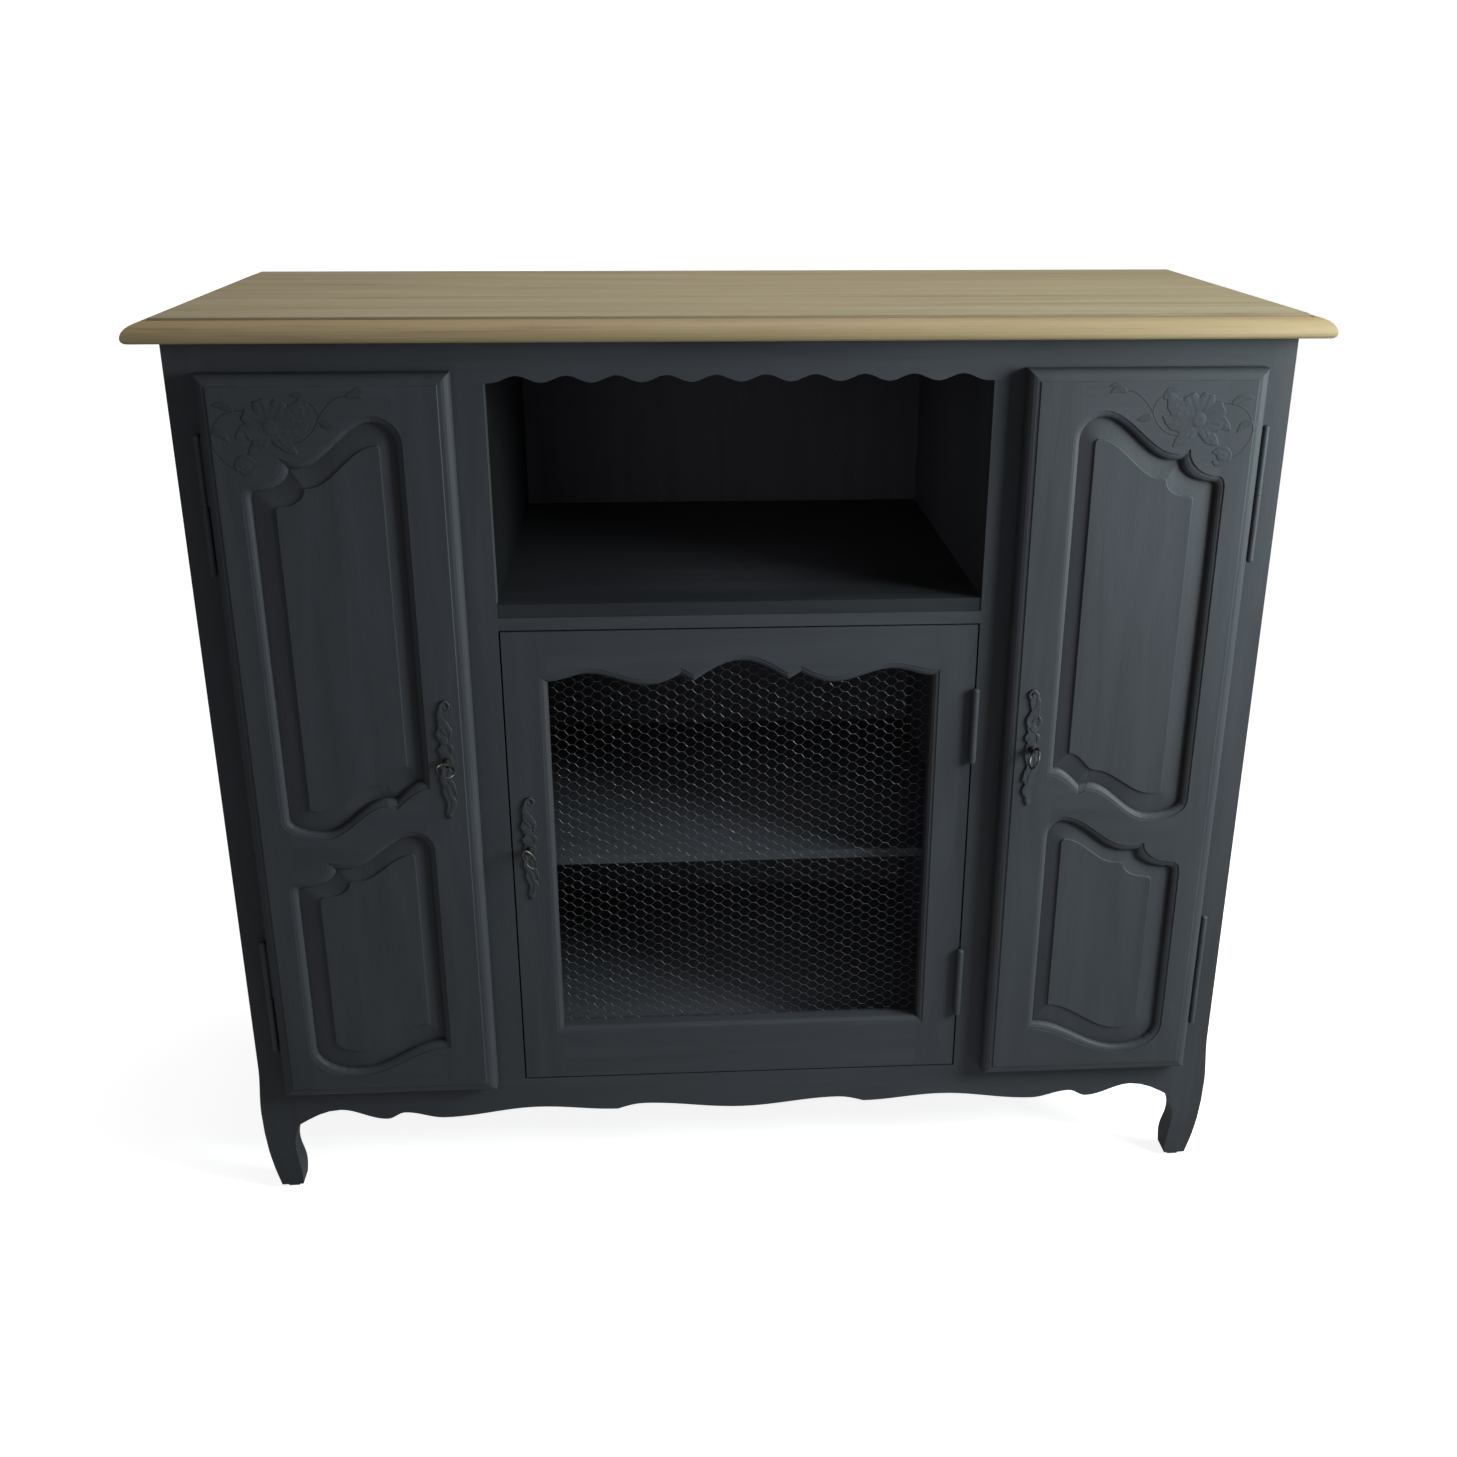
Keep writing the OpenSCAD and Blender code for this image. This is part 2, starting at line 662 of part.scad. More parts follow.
// Lower opening and field, drawn in the same way
function lower_outline(d) = let (x0 = lock_stile_w, x1 = door_w - hinge_stile_w, z1 = lower_head, z0 = lower_foot,
    h = rail_wave)
    trace([
        [x0 + d, z1 - 0.5 * h - d / 2],
        [x0 + 0.14 * open_w, z1 - d, SHOULDER],
        [x0 + 0.62 * open_w - d / 2, z1 - 0.84 * h - d, WAVE],
        [x0 + 0.725 * open_w - d, z1 - 0.77 * h - 1.4 * d, LEAVE],
        [x0 + 0.95 * open_w - d / 2, z1 - 1.33 * h - d, SHOULDER],
        [x1 - d, z1 - 1.62 * h - d / 3, CORNER],
        [x1 - d, z0 + 0.82 * h, LINE],
        [x0 + 0.686 * open_w, z0 + d, SHOULDER],
        [x0 + d, z0 + 0.8 * h + d, WAVE]]);

function lower_field(d) = let (x0 = lock_stile_w + field_in_lock + d, x1 = door_w - hinge_stile_w - field_in_hinge - d,
    w = x1 - x0, z1 = lower_head - field_down - d, z0 = lower_foot + field_up + d, h = rail_wave)
    trace([
        [x0, z1 - 0.1 * h],
        [x0 + 0.03 * w, z1, SHOULDER],
        [x0 + 0.6 * w, z1 - 0.68 * h, WAVE],
        [x0 + 0.68 * w, z1 - 0.71 * h, LEAVE],
        [x0 + 0.93 * w, z1 - 1.1 * h, SHOULDER],
        [x1, z1 - 1.2 * h, CORNER],
        [x1, z0 + 0.3 * h, LINE],
        [x0 + 0.78 * w, z0, SHOULDER],
        [x0, z0 + 0.76 * h, WAVE]]);

groove_y = 9;
groove_in = 1;

// What the two openings remove from the door's frame: moulded edge, then straight through
function mould_ring(i, n) = [panel_mould_w * sin(90 * i / n), 1 + (panel_mould_d - 1) * (1 - cos(90 * i / n))];

module opening_cut(upper) {
    n = 4;
    steps = concat([[0, -1], [0, 1]], [for (i = [1 : n]) mould_ring(i, n)], [[panel_mould_w, door_t + 1]]);
    loft([for (s = steps) [upper ? upper_outline(s[0]) : lower_outline(s[0]), s[1]]]);
}

module groove_cut(upper) {
    points = upper ? upper_outline(groove_in) : lower_outline(groove_in);
    slab(points, groove_y, groove_y + tongue_t + panel_air);
}

// The door's outer shape, face at y = 0, with its moulded outer edge mitred at the corners
function edge_section(length) = let (n = 5)
    concat([[0, door_t]],
        [for (i = [0 : n]) [(edge_mould_w - 1) * (1 - cos(90 * i / n)), 1 + (edge_mould_d - 1) * (1 - sin(90 * i / n))]],
        [[edge_mould_w, 0], [length - edge_mould_w, 0]],
        [for (i = [n : -1 : 0]) [length - (edge_mould_w - 1) * (1 - cos(90 * i / n)), 1 + (edge_mould_d - 1) * (1 - sin(90 * i / n))]],
        [[length, door_t]]);

module door_blank() {
    intersection() {
        linear_extrude(door_h) polygon(edge_section(door_w));
        translate([0, 0, door_h]) rotate([0, 90, 0]) linear_extrude(door_w) polygon([for (p = edge_section(door_h)) [p[0], p[1]]]);
    }
}

// Tenons of the door rails into the stiles, as [low, high] up the door, at the lock and at the hinge side
door_tenon_t = 7;
door_tenon_l = 26;
door_tenon_y = groove_y + tongue_t / 2;
top_tenons = [[door_h - 1.1 * top_peak, door_h - 0.35 * top_peak], [door_h - 1.1 * top_peak, door_h - 0.35 * top_peak]];
mid_tenons = [[lower_head + 0.1 * rail_wave, upper_foot + 1.2 * rail_wave],
    [lower_head - 1.2 * rail_wave, upper_foot]];
bottom_tenons = [[0.7 * lower_foot, lower_foot + 0.6 * rail_wave], [0.7 * lower_foot, lower_foot + 0.3 * rail_wave]];

module door_tenon(side, z, air, root) {
    x = side == 0 ? sight_lock - door_tenon_l : sight_hinge - root;
    box([x - air, door_tenon_y - door_tenon_t / 2 - air, z[0] - air],
        [x + door_tenon_l + root + air, door_tenon_y + door_tenon_t / 2 + air, z[1] + air]);
}

// Puts the door's own frame in its place in the carcase
module hung() {
    translate([door_x, door_face, door_z]) children();
}

// One piece of the door's frame, between two places across and two places up
module frame_piece(u0, u1, v0, v1) {
    difference() {
        intersection() {
            door_blank();
            box([u0, -1, v0], [u1, door_t + 1, v1]);
        }
        opening_cut(true);
        opening_cut(false);
        groove_cut(true);
        groove_cut(false);
    }
}

module hinge_stile_solid() {
    hung() difference() {
        frame_piece(sight_hinge, door_w, 0, door_h);
        for (t = [top_tenons, mid_tenons, bottom_tenons]) door_tenon(1, t[1], tenon_air, 0);
        for (z = [side_hinge_in, door_h - side_hinge_in])
            box([door_w - leaf_in, door_t / 2 - leaf_t / 2, z + slide_air], [door_w + 1, door_t / 2 + leaf_t / 2, z + half_knuckle]);
    }
}

module keyhole(x, z, y0, y1, r) {
    translate([x, y1, z]) rotate([90, 0, 0]) cylinder(r = r, h = y1 - y0);
    box([x - 1.5, y0, z - bit_reach - 1], [x + 1.5, y1, z]);
}

module lock_stile_solid() {
    hung() difference() {
        frame_piece(0, sight_lock, 0, door_h);
        for (t = [top_tenons, mid_tenons, bottom_tenons]) door_tenon(0, t[0], tenon_air, 0);
        keyhole(side_key_in, side_key_up, -1, door_t + 1, shank_r + 4 * run_air);
    }
}

module rail_solid(v0, v1, tenons) {
    hung() {
        frame_piece(sight_lock, sight_hinge, v0, v1);
        for (side = [0, 1]) door_tenon(side, tenons[side], 0, eps);
    }
}

top_rail_low = door_h - top_peak - 2 * rail_wave;
mid_rail_low = lower_head - 1.9 * rail_wave;
mid_rail_high = upper_foot + 1.7 * rail_wave;
bottom_rail_high = lower_foot + 1.2 * rail_wave;

// A raised panel: tongue in the groove, bevel rising to the field, small step round the field
module panel_solid(upper) {
    air = groove_in + panel_air;
    base = panel_mould_w + panel_air;
    bevel_y = field_sunk + field_step;
    tongue_y = groove_y + panel_air / 2;
    hung() loft([
        [upper ? upper_field(0) : lower_field(0), field_sunk],
        [upper ? upper_field(-0.4) : lower_field(-0.4), bevel_y],
        [upper ? upper_outline(base) : lower_outline(base), tongue_y],
        [upper ? upper_outline(air) : lower_outline(air), tongue_y],
        [upper ? upper_outline(air) : lower_outline(air), tongue_y + tongue_t]]);
}

// Barrel hinges. The frame half has the lower knuckle and the pin, the door half the upper knuckle
module knuckle_cap(r, h) {
    rotate_extrude() polygon([[0, 0], [r, 0], [r, h - r / 2], [r * 0.75, h - r * 0.2], [r * 0.35, h], [0, h]]);
}

module frame_knuckle(r, half) {
    mirror([0, 0, 1]) translate([0, 0, slide_air]) knuckle_cap(r, half - slide_air);
    translate([0, 0, -slide_air - eps]) cylinder(r = pin_r, h = half - 4 + slide_air + eps);
}

module door_knuckle(r, half) {
    difference() {
        translate([0, 0, slide_air]) knuckle_cap(r, half - slide_air);
        cylinder(r = pin_r + run_air, h = half - 4 + slide_air);
    }
}

module right_post_hinges_solid() {
    for (z = [low_hinge_z, high_hinge_z]) translate([axis_x, axis_y, z]) {
        frame_knuckle(side_barrel_r, half_knuckle);
        box([-leaf_t / 2, side_barrel_r - 0.5, -half_knuckle + 4], [leaf_t / 2, leaf_in - axis_y, -2 * slide_air]);
    }
}

module right_door_hinges_solid() {
    for (z = [low_hinge_z, high_hinge_z]) translate([axis_x, axis_y, z]) {
        door_knuckle(side_barrel_r, half_knuckle);
        box([-barrel_air - side_barrel_r - leaf_in, -leaf_t / 2, 2 * slide_air],
            [-side_barrel_r + 0.5, leaf_t / 2, half_knuckle - 4]);
    }
}

// Locks. A case behind the stile, a bolt through its edge, a key through the door
module lock_case_shape(backset) {
    difference() {
        box([-backset, 0, -case_h * 0.42], [case_w - backset, case_t, case_h * 0.58]);
        translate([0, case_t - 1, 0]) rotate([90, 0, 0]) cylinder(r = bit_reach + 1, h = case_t - 2);
        translate([0, case_t + 1, 0]) rotate([90, 0, 0]) cylinder(r = shank_r + run_air, h = case_t + 2);
        box([-backset - 1, (case_t - bolt_t) / 2 - slide_air, bolt_z - bolt_h / 2 - slide_air],
            [case_w - backset - 3, (case_t + bolt_t) / 2 + slide_air, bolt_z + bolt_h / 2 + slide_air]);
    }
}

module bolt_shape(backset) {
    box([-backset, (case_t - bolt_t) / 2, bolt_z - bolt_h / 2],
        [case_w - backset - 4, (case_t + bolt_t) / 2, bolt_z + bolt_h / 2]);
}

// A key along -Y from the lock case's back, its bow upright
function oval(w, l, n) = [for (i = [0 : n - 1]) [w / 2 * cos(360 * i / n), l / 2 * sin(360 * i / n)]];

module key_shape(inside) {
    tip = inside + case_t;
    stem = key_out - bow_l - plate_t + bow_rim / 2;
    rotate([90, 0, 0]) {
        translate([0, 0, -tip]) cylinder(r = shank_r, h = tip + plate_t + 2);
        translate([0, 0, plate_t]) rotate_extrude()
            polygon(concat([for (p = [[0, 0.1], [1.53, 0.1], [1.53, 0.6], [1.13, 0.87], [1.13, 1.33], [1.47, 1.67], [1, 2.07]])
                p * shank_r], [[0.87 * shank_r, stem], [0, stem]]));
    }
    translate([0, bow_l / 2 - key_out, 0]) rotate([0, 90, 0]) translate([0, 0, -bow_t / 2])
        linear_extrude(bow_t) difference() {
            polygon(oval(bow_w, bow_l, 32));
            polygon(oval(bow_w - 2 * bow_rim, bow_l - 2 * bow_rim, 32));
        }
    box([-1, inside + 2, -bit_reach], [1, inside + case_t - 2, 0]);
}

// A pierced plate: half its width against height, leaf over leaf to a point at each end
function plate_half(length) = swap(trace([for (p = [[-0.5, 0.08], [-0.45, 0.5, LAND], [-0.37, 0.3, WAVE],
    [-0.26, 0.85, WAVE], [-0.17, 0.5, WAVE], [-0.02, 1, WAVE], [0.1, 0.5, WAVE], [0.2, 0.9, WAVE],
    [0.31, 0.35, WAVE], [0.41, 0.7, WAVE], [0.5, 0.08, LEAVE]])
    concat([p[0] * length, p[1] * plate_w / 2], len(p) > 2 ? [p[2]] : [])]));

module plate_shape(length) {
    half = plate_half(length);
    difference() {
        slab(concat(half, mirrored(half)), -plate_t, 0);
        keyhole(0, 0, -plate_t - 1, 1, shank_r + 4 * run_air);
    }
}

// A side door's lock parts, right hand
module at_side_key() {
    translate([door_x + side_key_in, 0, side_key_z]) children();
}

// Centre door
centre_door_w = centre_w - 2 * door_gap;
centre_door_z = bay_z + door_gap;
centre_door_h = centre_h - 2 * door_gap;
centre_axis_x = half_c - door_gap / 2;
centre_axis_y = -centre_barrel_r - slide_air;
centre_hinge_z = [centre_door_z + centre_hinge_in, centre_door_z + centre_door_h - centre_hinge_in];
centre_key_x = -centre_door_w / 2 + centre_key_in;
centre_key_z = centre_door_z + centre_key_up;
centre_bolt_y = centre_door_t + case_t / 2;
open_x = centre_door_w / 2 - centre_stile_w;

// Net opening, drawn out by d from its inner line: two waves, a cusp and a middle hump each side
function net_outline(d) = let (z0 = centre_door_z + centre_bottom_w, z1 = centre_door_z + centre_door_h - centre_top_w,
    x = open_x, h = net_wave, left = [
        [-x - d, z0 - d],
        [-x - d, z1 - 0.79 * h + d, LINE],
        [-0.79 * x, z1 - 0.465 * h + d, WAVE],
        [-0.48 * x, z1 - 1.007 * h + d, WAVE],
        [-0.31 * x, z1 - 0.552 * h + 1.15 * d, LEAVE],
        [-0.245 * x, z1 - 0.862 * h + 1.15 * d, LINE],
        [0, z1 + d, LAND]])
    concat(trace(left), [for (p = mirrored(trace(left))) if (p[0] > eps) p]);

module net_cut() {
    n = 3;
    steps = concat([[centre_mould, -1], [centre_mould, 0.6]],
        [for (i = [1 : n]) [centre_mould * (1 - sin(90 * i / n)), 0.6 + 5 * (1 - cos(90 * i / n))]],
        [[0, centre_door_t + 1]]);
    loft([for (s = steps) [net_outline(s[0]), s[1]]]);
}

module centre_frame(x0, x1, z0, z1) {
    difference() {
        box([x0, 0, z0], [x1, centre_door_t, z1]);
        net_cut();
    }
}

centre_tenon_z = [[centre_door_z + 0.2 * centre_bottom_w, centre_door_z + 0.75 * centre_bottom_w],
    [centre_door_z + centre_door_h - 0.85 * centre_top_w, centre_door_z + centre_door_h - 0.25 * centre_top_w]];

module centre_tenons(air) {
    for (t = centre_tenon_z, s = [-1, 1])
        box([s * (open_x + door_tenon_l / 2) - door_tenon_l / 2 - air, centre_door_t / 2 - door_tenon_t / 2 - air, t[0] - air],
            [s * (open_x + door_tenon_l / 2) + door_tenon_l / 2 + air, centre_door_t / 2 + door_tenon_t / 2 + air, t[1] + air]);
}

module centre_stiles() {
    z0 = centre_door_z;
    z1 = z0 + centre_door_h;
    color(paint) placed() difference() {
        for (s = [-1, 1]) centre_frame(s > 0 ? open_x : -centre_door_w / 2, s > 0 ? centre_door_w / 2 : -open_x, z0, z1);
        centre_tenons(tenon_air);
        keyhole(centre_key_x, centre_key_z, -1, centre_door_t + 1, shank_r + 4 * run_air);
        for (z = centre_hinge_z)
            box([centre_axis_x - slide_air / 2 - leaf_t, -1, z + slide_air],
                [centre_axis_x + 1, frame_t - 2, z + centre_hinge_l / 2]);
    }
}

module centre_rail(z0, z1, tenon) {
    color(paint) placed() {
        centre_frame(-open_x, open_x, z0, z1);
        intersection() {
            centre_tenons(0);
            for (s = [0, 1]) mirror([s, 0, 0])
                box([open_x - eps, 0, tenon[0]], [open_x + door_tenon_l, centre_door_t, tenon[1]]);
        }
    }
}

module centre_top_rail() {
    centre_rail(centre_door_z + centre_door_h - centre_top_w - 1.4 * net_wave, centre_door_z + centre_door_h, centre_tenon_z[1]);
}

module centre_bottom_rail() {
    centre_rail(centre_door_z, centre_door_z + centre_bottom_w + 1, centre_tenon_z[0]);
}

// Hexagonal netting behind the opening
net_edge = 9;
net_low = centre_door_z + centre_bottom_w - net_edge;
net_high = centre_door_z + centre_door_h - centre_top_w + net_edge;
net_y = centre_door_t;

module netting() {
    pitch = net_gap + net_wire;
    column = pitch * cos(30);
    hex_r = net_gap / 2 / cos(30);
    columns = floor((open_x + net_edge - 4 - hex_r) / column);
    rows = floor((net_high - net_low - 8) / pitch);
    mid = (net_low + net_high) / 2;
    color(wire) placed() translate([0, net_y + net_t, 0]) rotate([90, 0, 0]) linear_extrude(net_t) difference() {
        translate([-open_x - net_edge, net_low]) square([2 * (open_x + net_edge), net_high - net_low]);
        for (i = [-columns : columns])
            for (j = [0 : rows - 1 - abs(i) % 2])
                translate([i * column, mid + (j - (rows - 1 - abs(i) % 2) / 2) * pitch]) circle(r = hex_r, $fn = 6);
    }
}

// Four beads over the net's edges
module net_beads() {
    y0 = net_y + net_t;
    x1 = open_x + net_edge + 2;
    z0 = net_low - 2;
    z1 = net_high + 2;
    color(paint) placed() difference() {
        box([-x1, y0, z0], [x1, y0 + bead_s, z1]);
        box([-x1 + bead_s, y0 - 1, z0 + bead_s], [x1 - bead_s, y0 + bead_s + 1, z1 - bead_s]);
        for (s = [-1, 1], z = [z0 + bead_s, z1 - bead_s])
            translate([s * (x1 - bead_s / 2), y0 + bead_s / 2, z]) cube([bead_s + 1, bead_s + 1, 0.1], center = true);
    }
}

module centre_frame_hinges() {
    color(iron) placed() for (z = centre_hinge_z) translate([centre_axis_x, centre_axis_y, z]) {
        frame_knuckle(centre_barrel_r, centre_hinge_l / 2);
        box([slide_air / 2, 0, -centre_hinge_l / 2 + 4], [slide_air / 2 + leaf_t, frame_t - 2.2 - centre_axis_y, -2 * slide_air]);
    }
}

module centre_door_hinges() {
    color(iron) placed() for (z = centre_hinge_z) translate([centre_axis_x, centre_axis_y, z]) {
        door_knuckle(centre_barrel_r, centre_hinge_l / 2);
        difference() {
            box([-slide_air / 2 - leaf_t, 0, 2 * slide_air], [-slide_air / 2, frame_t - 2.2 - centre_axis_y, centre_hinge_l / 2 - 4]);
            cylinder(r = pin_r + run_air, h = centre_hinge_l / 2 - 4 + slide_air);
        }
    }
}

// Nodes made by hand: the right-hand solid, or its mirror image
module sided(left) {
    placed() mirror([left ? 1 : 0, 0, 0]) children();
}

module side_door_part(name, left) {
    if (name == "hinge_stile") color(paint) sided(left) hinge_stile_solid();
    if (name == "lock_stile") color(paint) sided(left) lock_stile_solid();
    if (name == "door_top_rail") color(paint) sided(left) rail_solid(top_rail_low, door_h, top_tenons);
    if (name == "door_mid_rail") color(paint) sided(left) rail_solid(mid_rail_low, mid_rail_high, mid_tenons);
    if (name == "door_bottom_rail") color(paint) sided(left) rail_solid(0, bottom_rail_high, bottom_tenons);
    if (name == "upper_panel") color(paint) sided(left) panel_solid(true);
    if (name == "lower_panel") color(paint) sided(left) panel_solid(false);
    if (name == "door_hinges") color(iron) sided(left) right_door_hinges_solid();
    if (name == "escutcheon") color(iron) sided(left) at_side_key() translate([0, door_face, 0]) plate_shape(side_plate_l);
    if (name == "lock_case") color(iron) sided(left) at_side_key() translate([0, -door_air, 0]) lock_case_shape(side_backset);
    if (name == "bolt") color(steel) sided(left) at_side_key() translate([0, -door_air, 0]) bolt_shape(side_backset);
}

module side_key(left) {
    s = left ? -1 : 1;
    color(steel) placed() translate([s * (door_x + side_key_in), door_face, side_key_z])
        rotate([0, left ? left_turn : right_turn, 0]) key_shape(door_t);
}

top_board();
color(paint) sided(true) right_front_post_solid();  // left_front_post
color(paint) sided(false) right_front_post_solid();  // right_front_post
color(paint) sided(true) right_back_post_solid();  // left_back_post
color(paint) sided(false) right_back_post_solid();  // right_back_post
color(paint) sided(true) right_side_panel_solid();  // left_side_panel
color(paint) sided(false) right_side_panel_solid();  // right_side_panel
top_rail();
apron_rail();
left_inner_stile();
right_inner_stile();
mid_rail();
niche_floor();
left_partition();
color(paint) sided(false) right_partition_solid();  // right_partition
bottom_board();
back_panel();
color(paint) placed() back_rail(body_h - back_rail_h);  // back_top_rail
color(paint) placed() back_rail(bay_z - back_rail_h);  // back_bottom_rail
centre_shelf();
color(paint) sided(true) right_shelves_solid();  // left_shelves
color(paint) sided(false) right_shelves_solid();  // right_shelves
shelf_cleats();
color(iron) sided(true) right_post_hinges_solid();  // left_post_hinges
color(iron) sided(false) right_post_hinges_solid();  // right_post_hinges
centre_frame_hinges();
for (hand = ["left", "right"], name = ["hinge_stile", "lock_stile", "door_top_rail", "door_mid_rail",
    "door_bottom_rail", "upper_panel", "lower_panel", "door_hinges", "escutcheon", "lock_case", "bolt"])
    side_door_part(name, hand == "left");
side_key(true);  // left_key
side_key(false);  // right_key
centre_stiles();
centre_top_rail();
centre_bottom_rail();
netting();
net_beads();
centre_door_hinges();
color(iron) placed() translate([centre_key_x, 0, centre_key_z]) plate_shape(centre_plate_l);  // centre_escutcheon
color(iron) placed() translate([centre_key_x, centre_door_t, centre_key_z]) lock_case_shape(centre_backset);  // centre_lock_case
color(steel) placed() translate([centre_key_x, centre_door_t, centre_key_z]) bolt_shape(centre_backset);  // centre_bolt
color(steel) placed() translate([centre_key_x, 0, centre_key_z]) rotate([0, centre_turn, 0]) key_shape(centre_door_t);  // centre_key
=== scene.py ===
# %% [markdown]
# A painted country sideboard with an oak top: two panelled doors, and between them an open niche over a
# netted door. The cabinetwork comes from the CAD model as a fixed frame. This script sets the camera, the
# light and the finishes, and adds what CAD leaves plain: the wire netting, the carved sprays, the lock
# plates and the keys.

# %% Load the cabinet
import json
import math

import bpy
import numpy as np
from mathutils import Matrix, Vector


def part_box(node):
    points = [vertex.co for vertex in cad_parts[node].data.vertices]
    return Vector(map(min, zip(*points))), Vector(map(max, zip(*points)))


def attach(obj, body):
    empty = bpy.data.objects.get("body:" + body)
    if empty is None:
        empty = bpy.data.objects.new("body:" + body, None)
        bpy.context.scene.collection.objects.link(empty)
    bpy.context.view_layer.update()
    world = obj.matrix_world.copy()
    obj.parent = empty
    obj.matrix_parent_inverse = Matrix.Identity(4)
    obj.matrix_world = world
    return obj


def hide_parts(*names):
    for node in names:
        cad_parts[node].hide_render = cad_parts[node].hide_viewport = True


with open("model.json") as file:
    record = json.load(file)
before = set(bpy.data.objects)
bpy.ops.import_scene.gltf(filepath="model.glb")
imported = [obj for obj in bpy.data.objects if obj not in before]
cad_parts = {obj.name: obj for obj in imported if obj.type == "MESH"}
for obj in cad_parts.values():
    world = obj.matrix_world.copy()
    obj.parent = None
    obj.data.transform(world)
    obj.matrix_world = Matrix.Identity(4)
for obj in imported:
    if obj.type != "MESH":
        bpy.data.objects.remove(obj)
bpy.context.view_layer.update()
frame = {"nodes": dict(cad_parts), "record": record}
nodes = frame["nodes"]
scene = bpy.context.scene

MM = 0.001

# %% [markdown]
# The photograph was taken by a standing person, a little left of the middle, with the camera tilted down at
# the cabinet. Vertical edges lean together downwards. The place, tilt and lens were worked out from the
# corners of the cabinet in the photograph, so they are set as numbers here, in metres, radians and
# millimetres of lens.

# %% Camera
CAMERA_AT = Vector((-0.0918, -1.93987, 1.34831))
TURN_RIGHT = 0.06274
TILT_DOWN = 0.37779
ROLL = 0.00364
LENS = 37.92
SHIFT_X = -0.0178
SHIFT_Y = -0.0051

level = math.cos(TILT_DOWN)
forward = Vector((math.sin(TURN_RIGHT) * level, math.cos(TURN_RIGHT) * level, -math.sin(TILT_DOWN)))
right = Vector((math.cos(TURN_RIGHT), -math.sin(TURN_RIGHT), 0))
up = right.cross(forward)
right_rolled = math.cos(ROLL) * right + math.sin(ROLL) * up
up_rolled = math.cos(ROLL) * up - math.sin(ROLL) * right
camera_data = bpy.data.cameras.new("camera")
camera_data.sensor_width = 36
camera_data.lens = LENS
camera_data.shift_x = SHIFT_X
camera_data.shift_y = SHIFT_Y
camera = bpy.data.objects.new("camera", camera_data)
turn = Matrix((right_rolled, up_rolled, -forward)).transposed().to_4x4()
camera.matrix_world = Matrix.Translation(CAMERA_AT) @ turn
scene.collection.objects.link(camera)
scene.camera = camera
scene.view_settings.view_transform = "Standard"
print("camera at", tuple(round(v, 3) for v in camera.location))

# %% [markdown]
# A material is a small graph of nodes. These helpers add one node at a time and join sockets, so that each
# finish below reads like a recipe.


# %% Helpers for materials
def new_material(name):
    """A material with an empty tree of nodes."""
    material = bpy.data.materials.new(name)
    material.use_nodes = True
    tree = material.node_tree
    for node in list(tree.nodes):
        tree.nodes.remove(node)
    return material, tree


def add(tree, kind, **values):
    """One new node, with its settings."""
    node = tree.nodes.new(kind)
    for key, value in values.items():
        setattr(node, key, value)
    return node


def join(tree, source, target):
    tree.links.new(source, target)


def noise(tree, vector, scale, detail, roughness, distortion=0.0):
    """Cloudy values from 0 to 1, with scale clouds to the metre."""
    node = add(tree, "ShaderNodeTexNoise")
    node.inputs["Scale"].default_value = scale
    node.inputs["Detail"].default_value = detail
    node.inputs["Roughness"].default_value = roughness
    node.inputs["Distortion"].default_value = distortion
    join(tree, vector, node.inputs["Vector"])
    return node.outputs["Fac"]


def streaks(tree, vector, along, slow, fast, detail, roughness, distortion=0.0):
    """Clouds drawn out along one axis: slow of them to the metre along it, and fast of them across it."""
    node = add(tree, "ShaderNodeMapping")
    node.inputs["Scale"].default_value = tuple(slow if axis == along else fast for axis in "XYZ")
    join(tree, vector, node.inputs["Vector"])
    return noise(tree, node.outputs["Vector"], 1.0, detail, roughness, distortion)


def ramp(tree, factor, stops):
    """A colour for each value, from a list of (value, colour)."""
    node = add(tree, "ShaderNodeValToRGB")
    elements = node.color_ramp.elements
    while len(elements) < len(stops):
        elements.new(0.5)
    for element, (place, colour) in zip(elements, stops):
        element.position = place
        element.color = (*colour, 1)
    join(tree, factor, node.inputs["Fac"])
    return node.outputs["Color"]


def grey_ramp(tree, factor, stops):
    """A new value for each value, from a list of (value, new value)."""
    return ramp(tree, factor, [(place, (value, value, value)) for place, value in stops])


def math_node(tree, operation, first, second):
    """One step of arithmetic on two sockets or numbers."""
    node = add(tree, "ShaderNodeMath", operation=operation)
    for socket, value in zip(node.inputs, (first, second)):
        if isinstance(value, (int, float)):
            socket.default_value = value
        else:
            join(tree, value, socket)
    return node.outputs[0]


def mix_colour(tree, blend_type, factor, first, second):
    node = add(tree, "ShaderNodeMix", data_type="RGBA", blend_type=blend_type)
    for socket, value in ((node.inputs[0], factor), (node.inputs[6], first), (node.inputs[7], second)):
        if isinstance(value, (int, float)):
            socket.default_value = value
        elif isinstance(value, tuple):
            socket.default_value = (*value, 1)
        else:
            join(tree, value, socket)
    return node.outputs[2]


def bump(tree, height, strength, distance, edge):
    """Small relief from a height, over edges that look rounded by the radius edge."""
    soft = add(tree, "ShaderNodeBevel", samples=4)
    soft.inputs["Radius"].default_value = edge
    node = add(tree, "ShaderNodeBump")
    node.inputs["Strength"].default_value = strength
    node.inputs["Distance"].default_value = distance
    join(tree, height, node.inputs["Height"])
    join(tree, soft.outputs[0], node.inputs["Normal"])
    return node.outputs["Normal"]


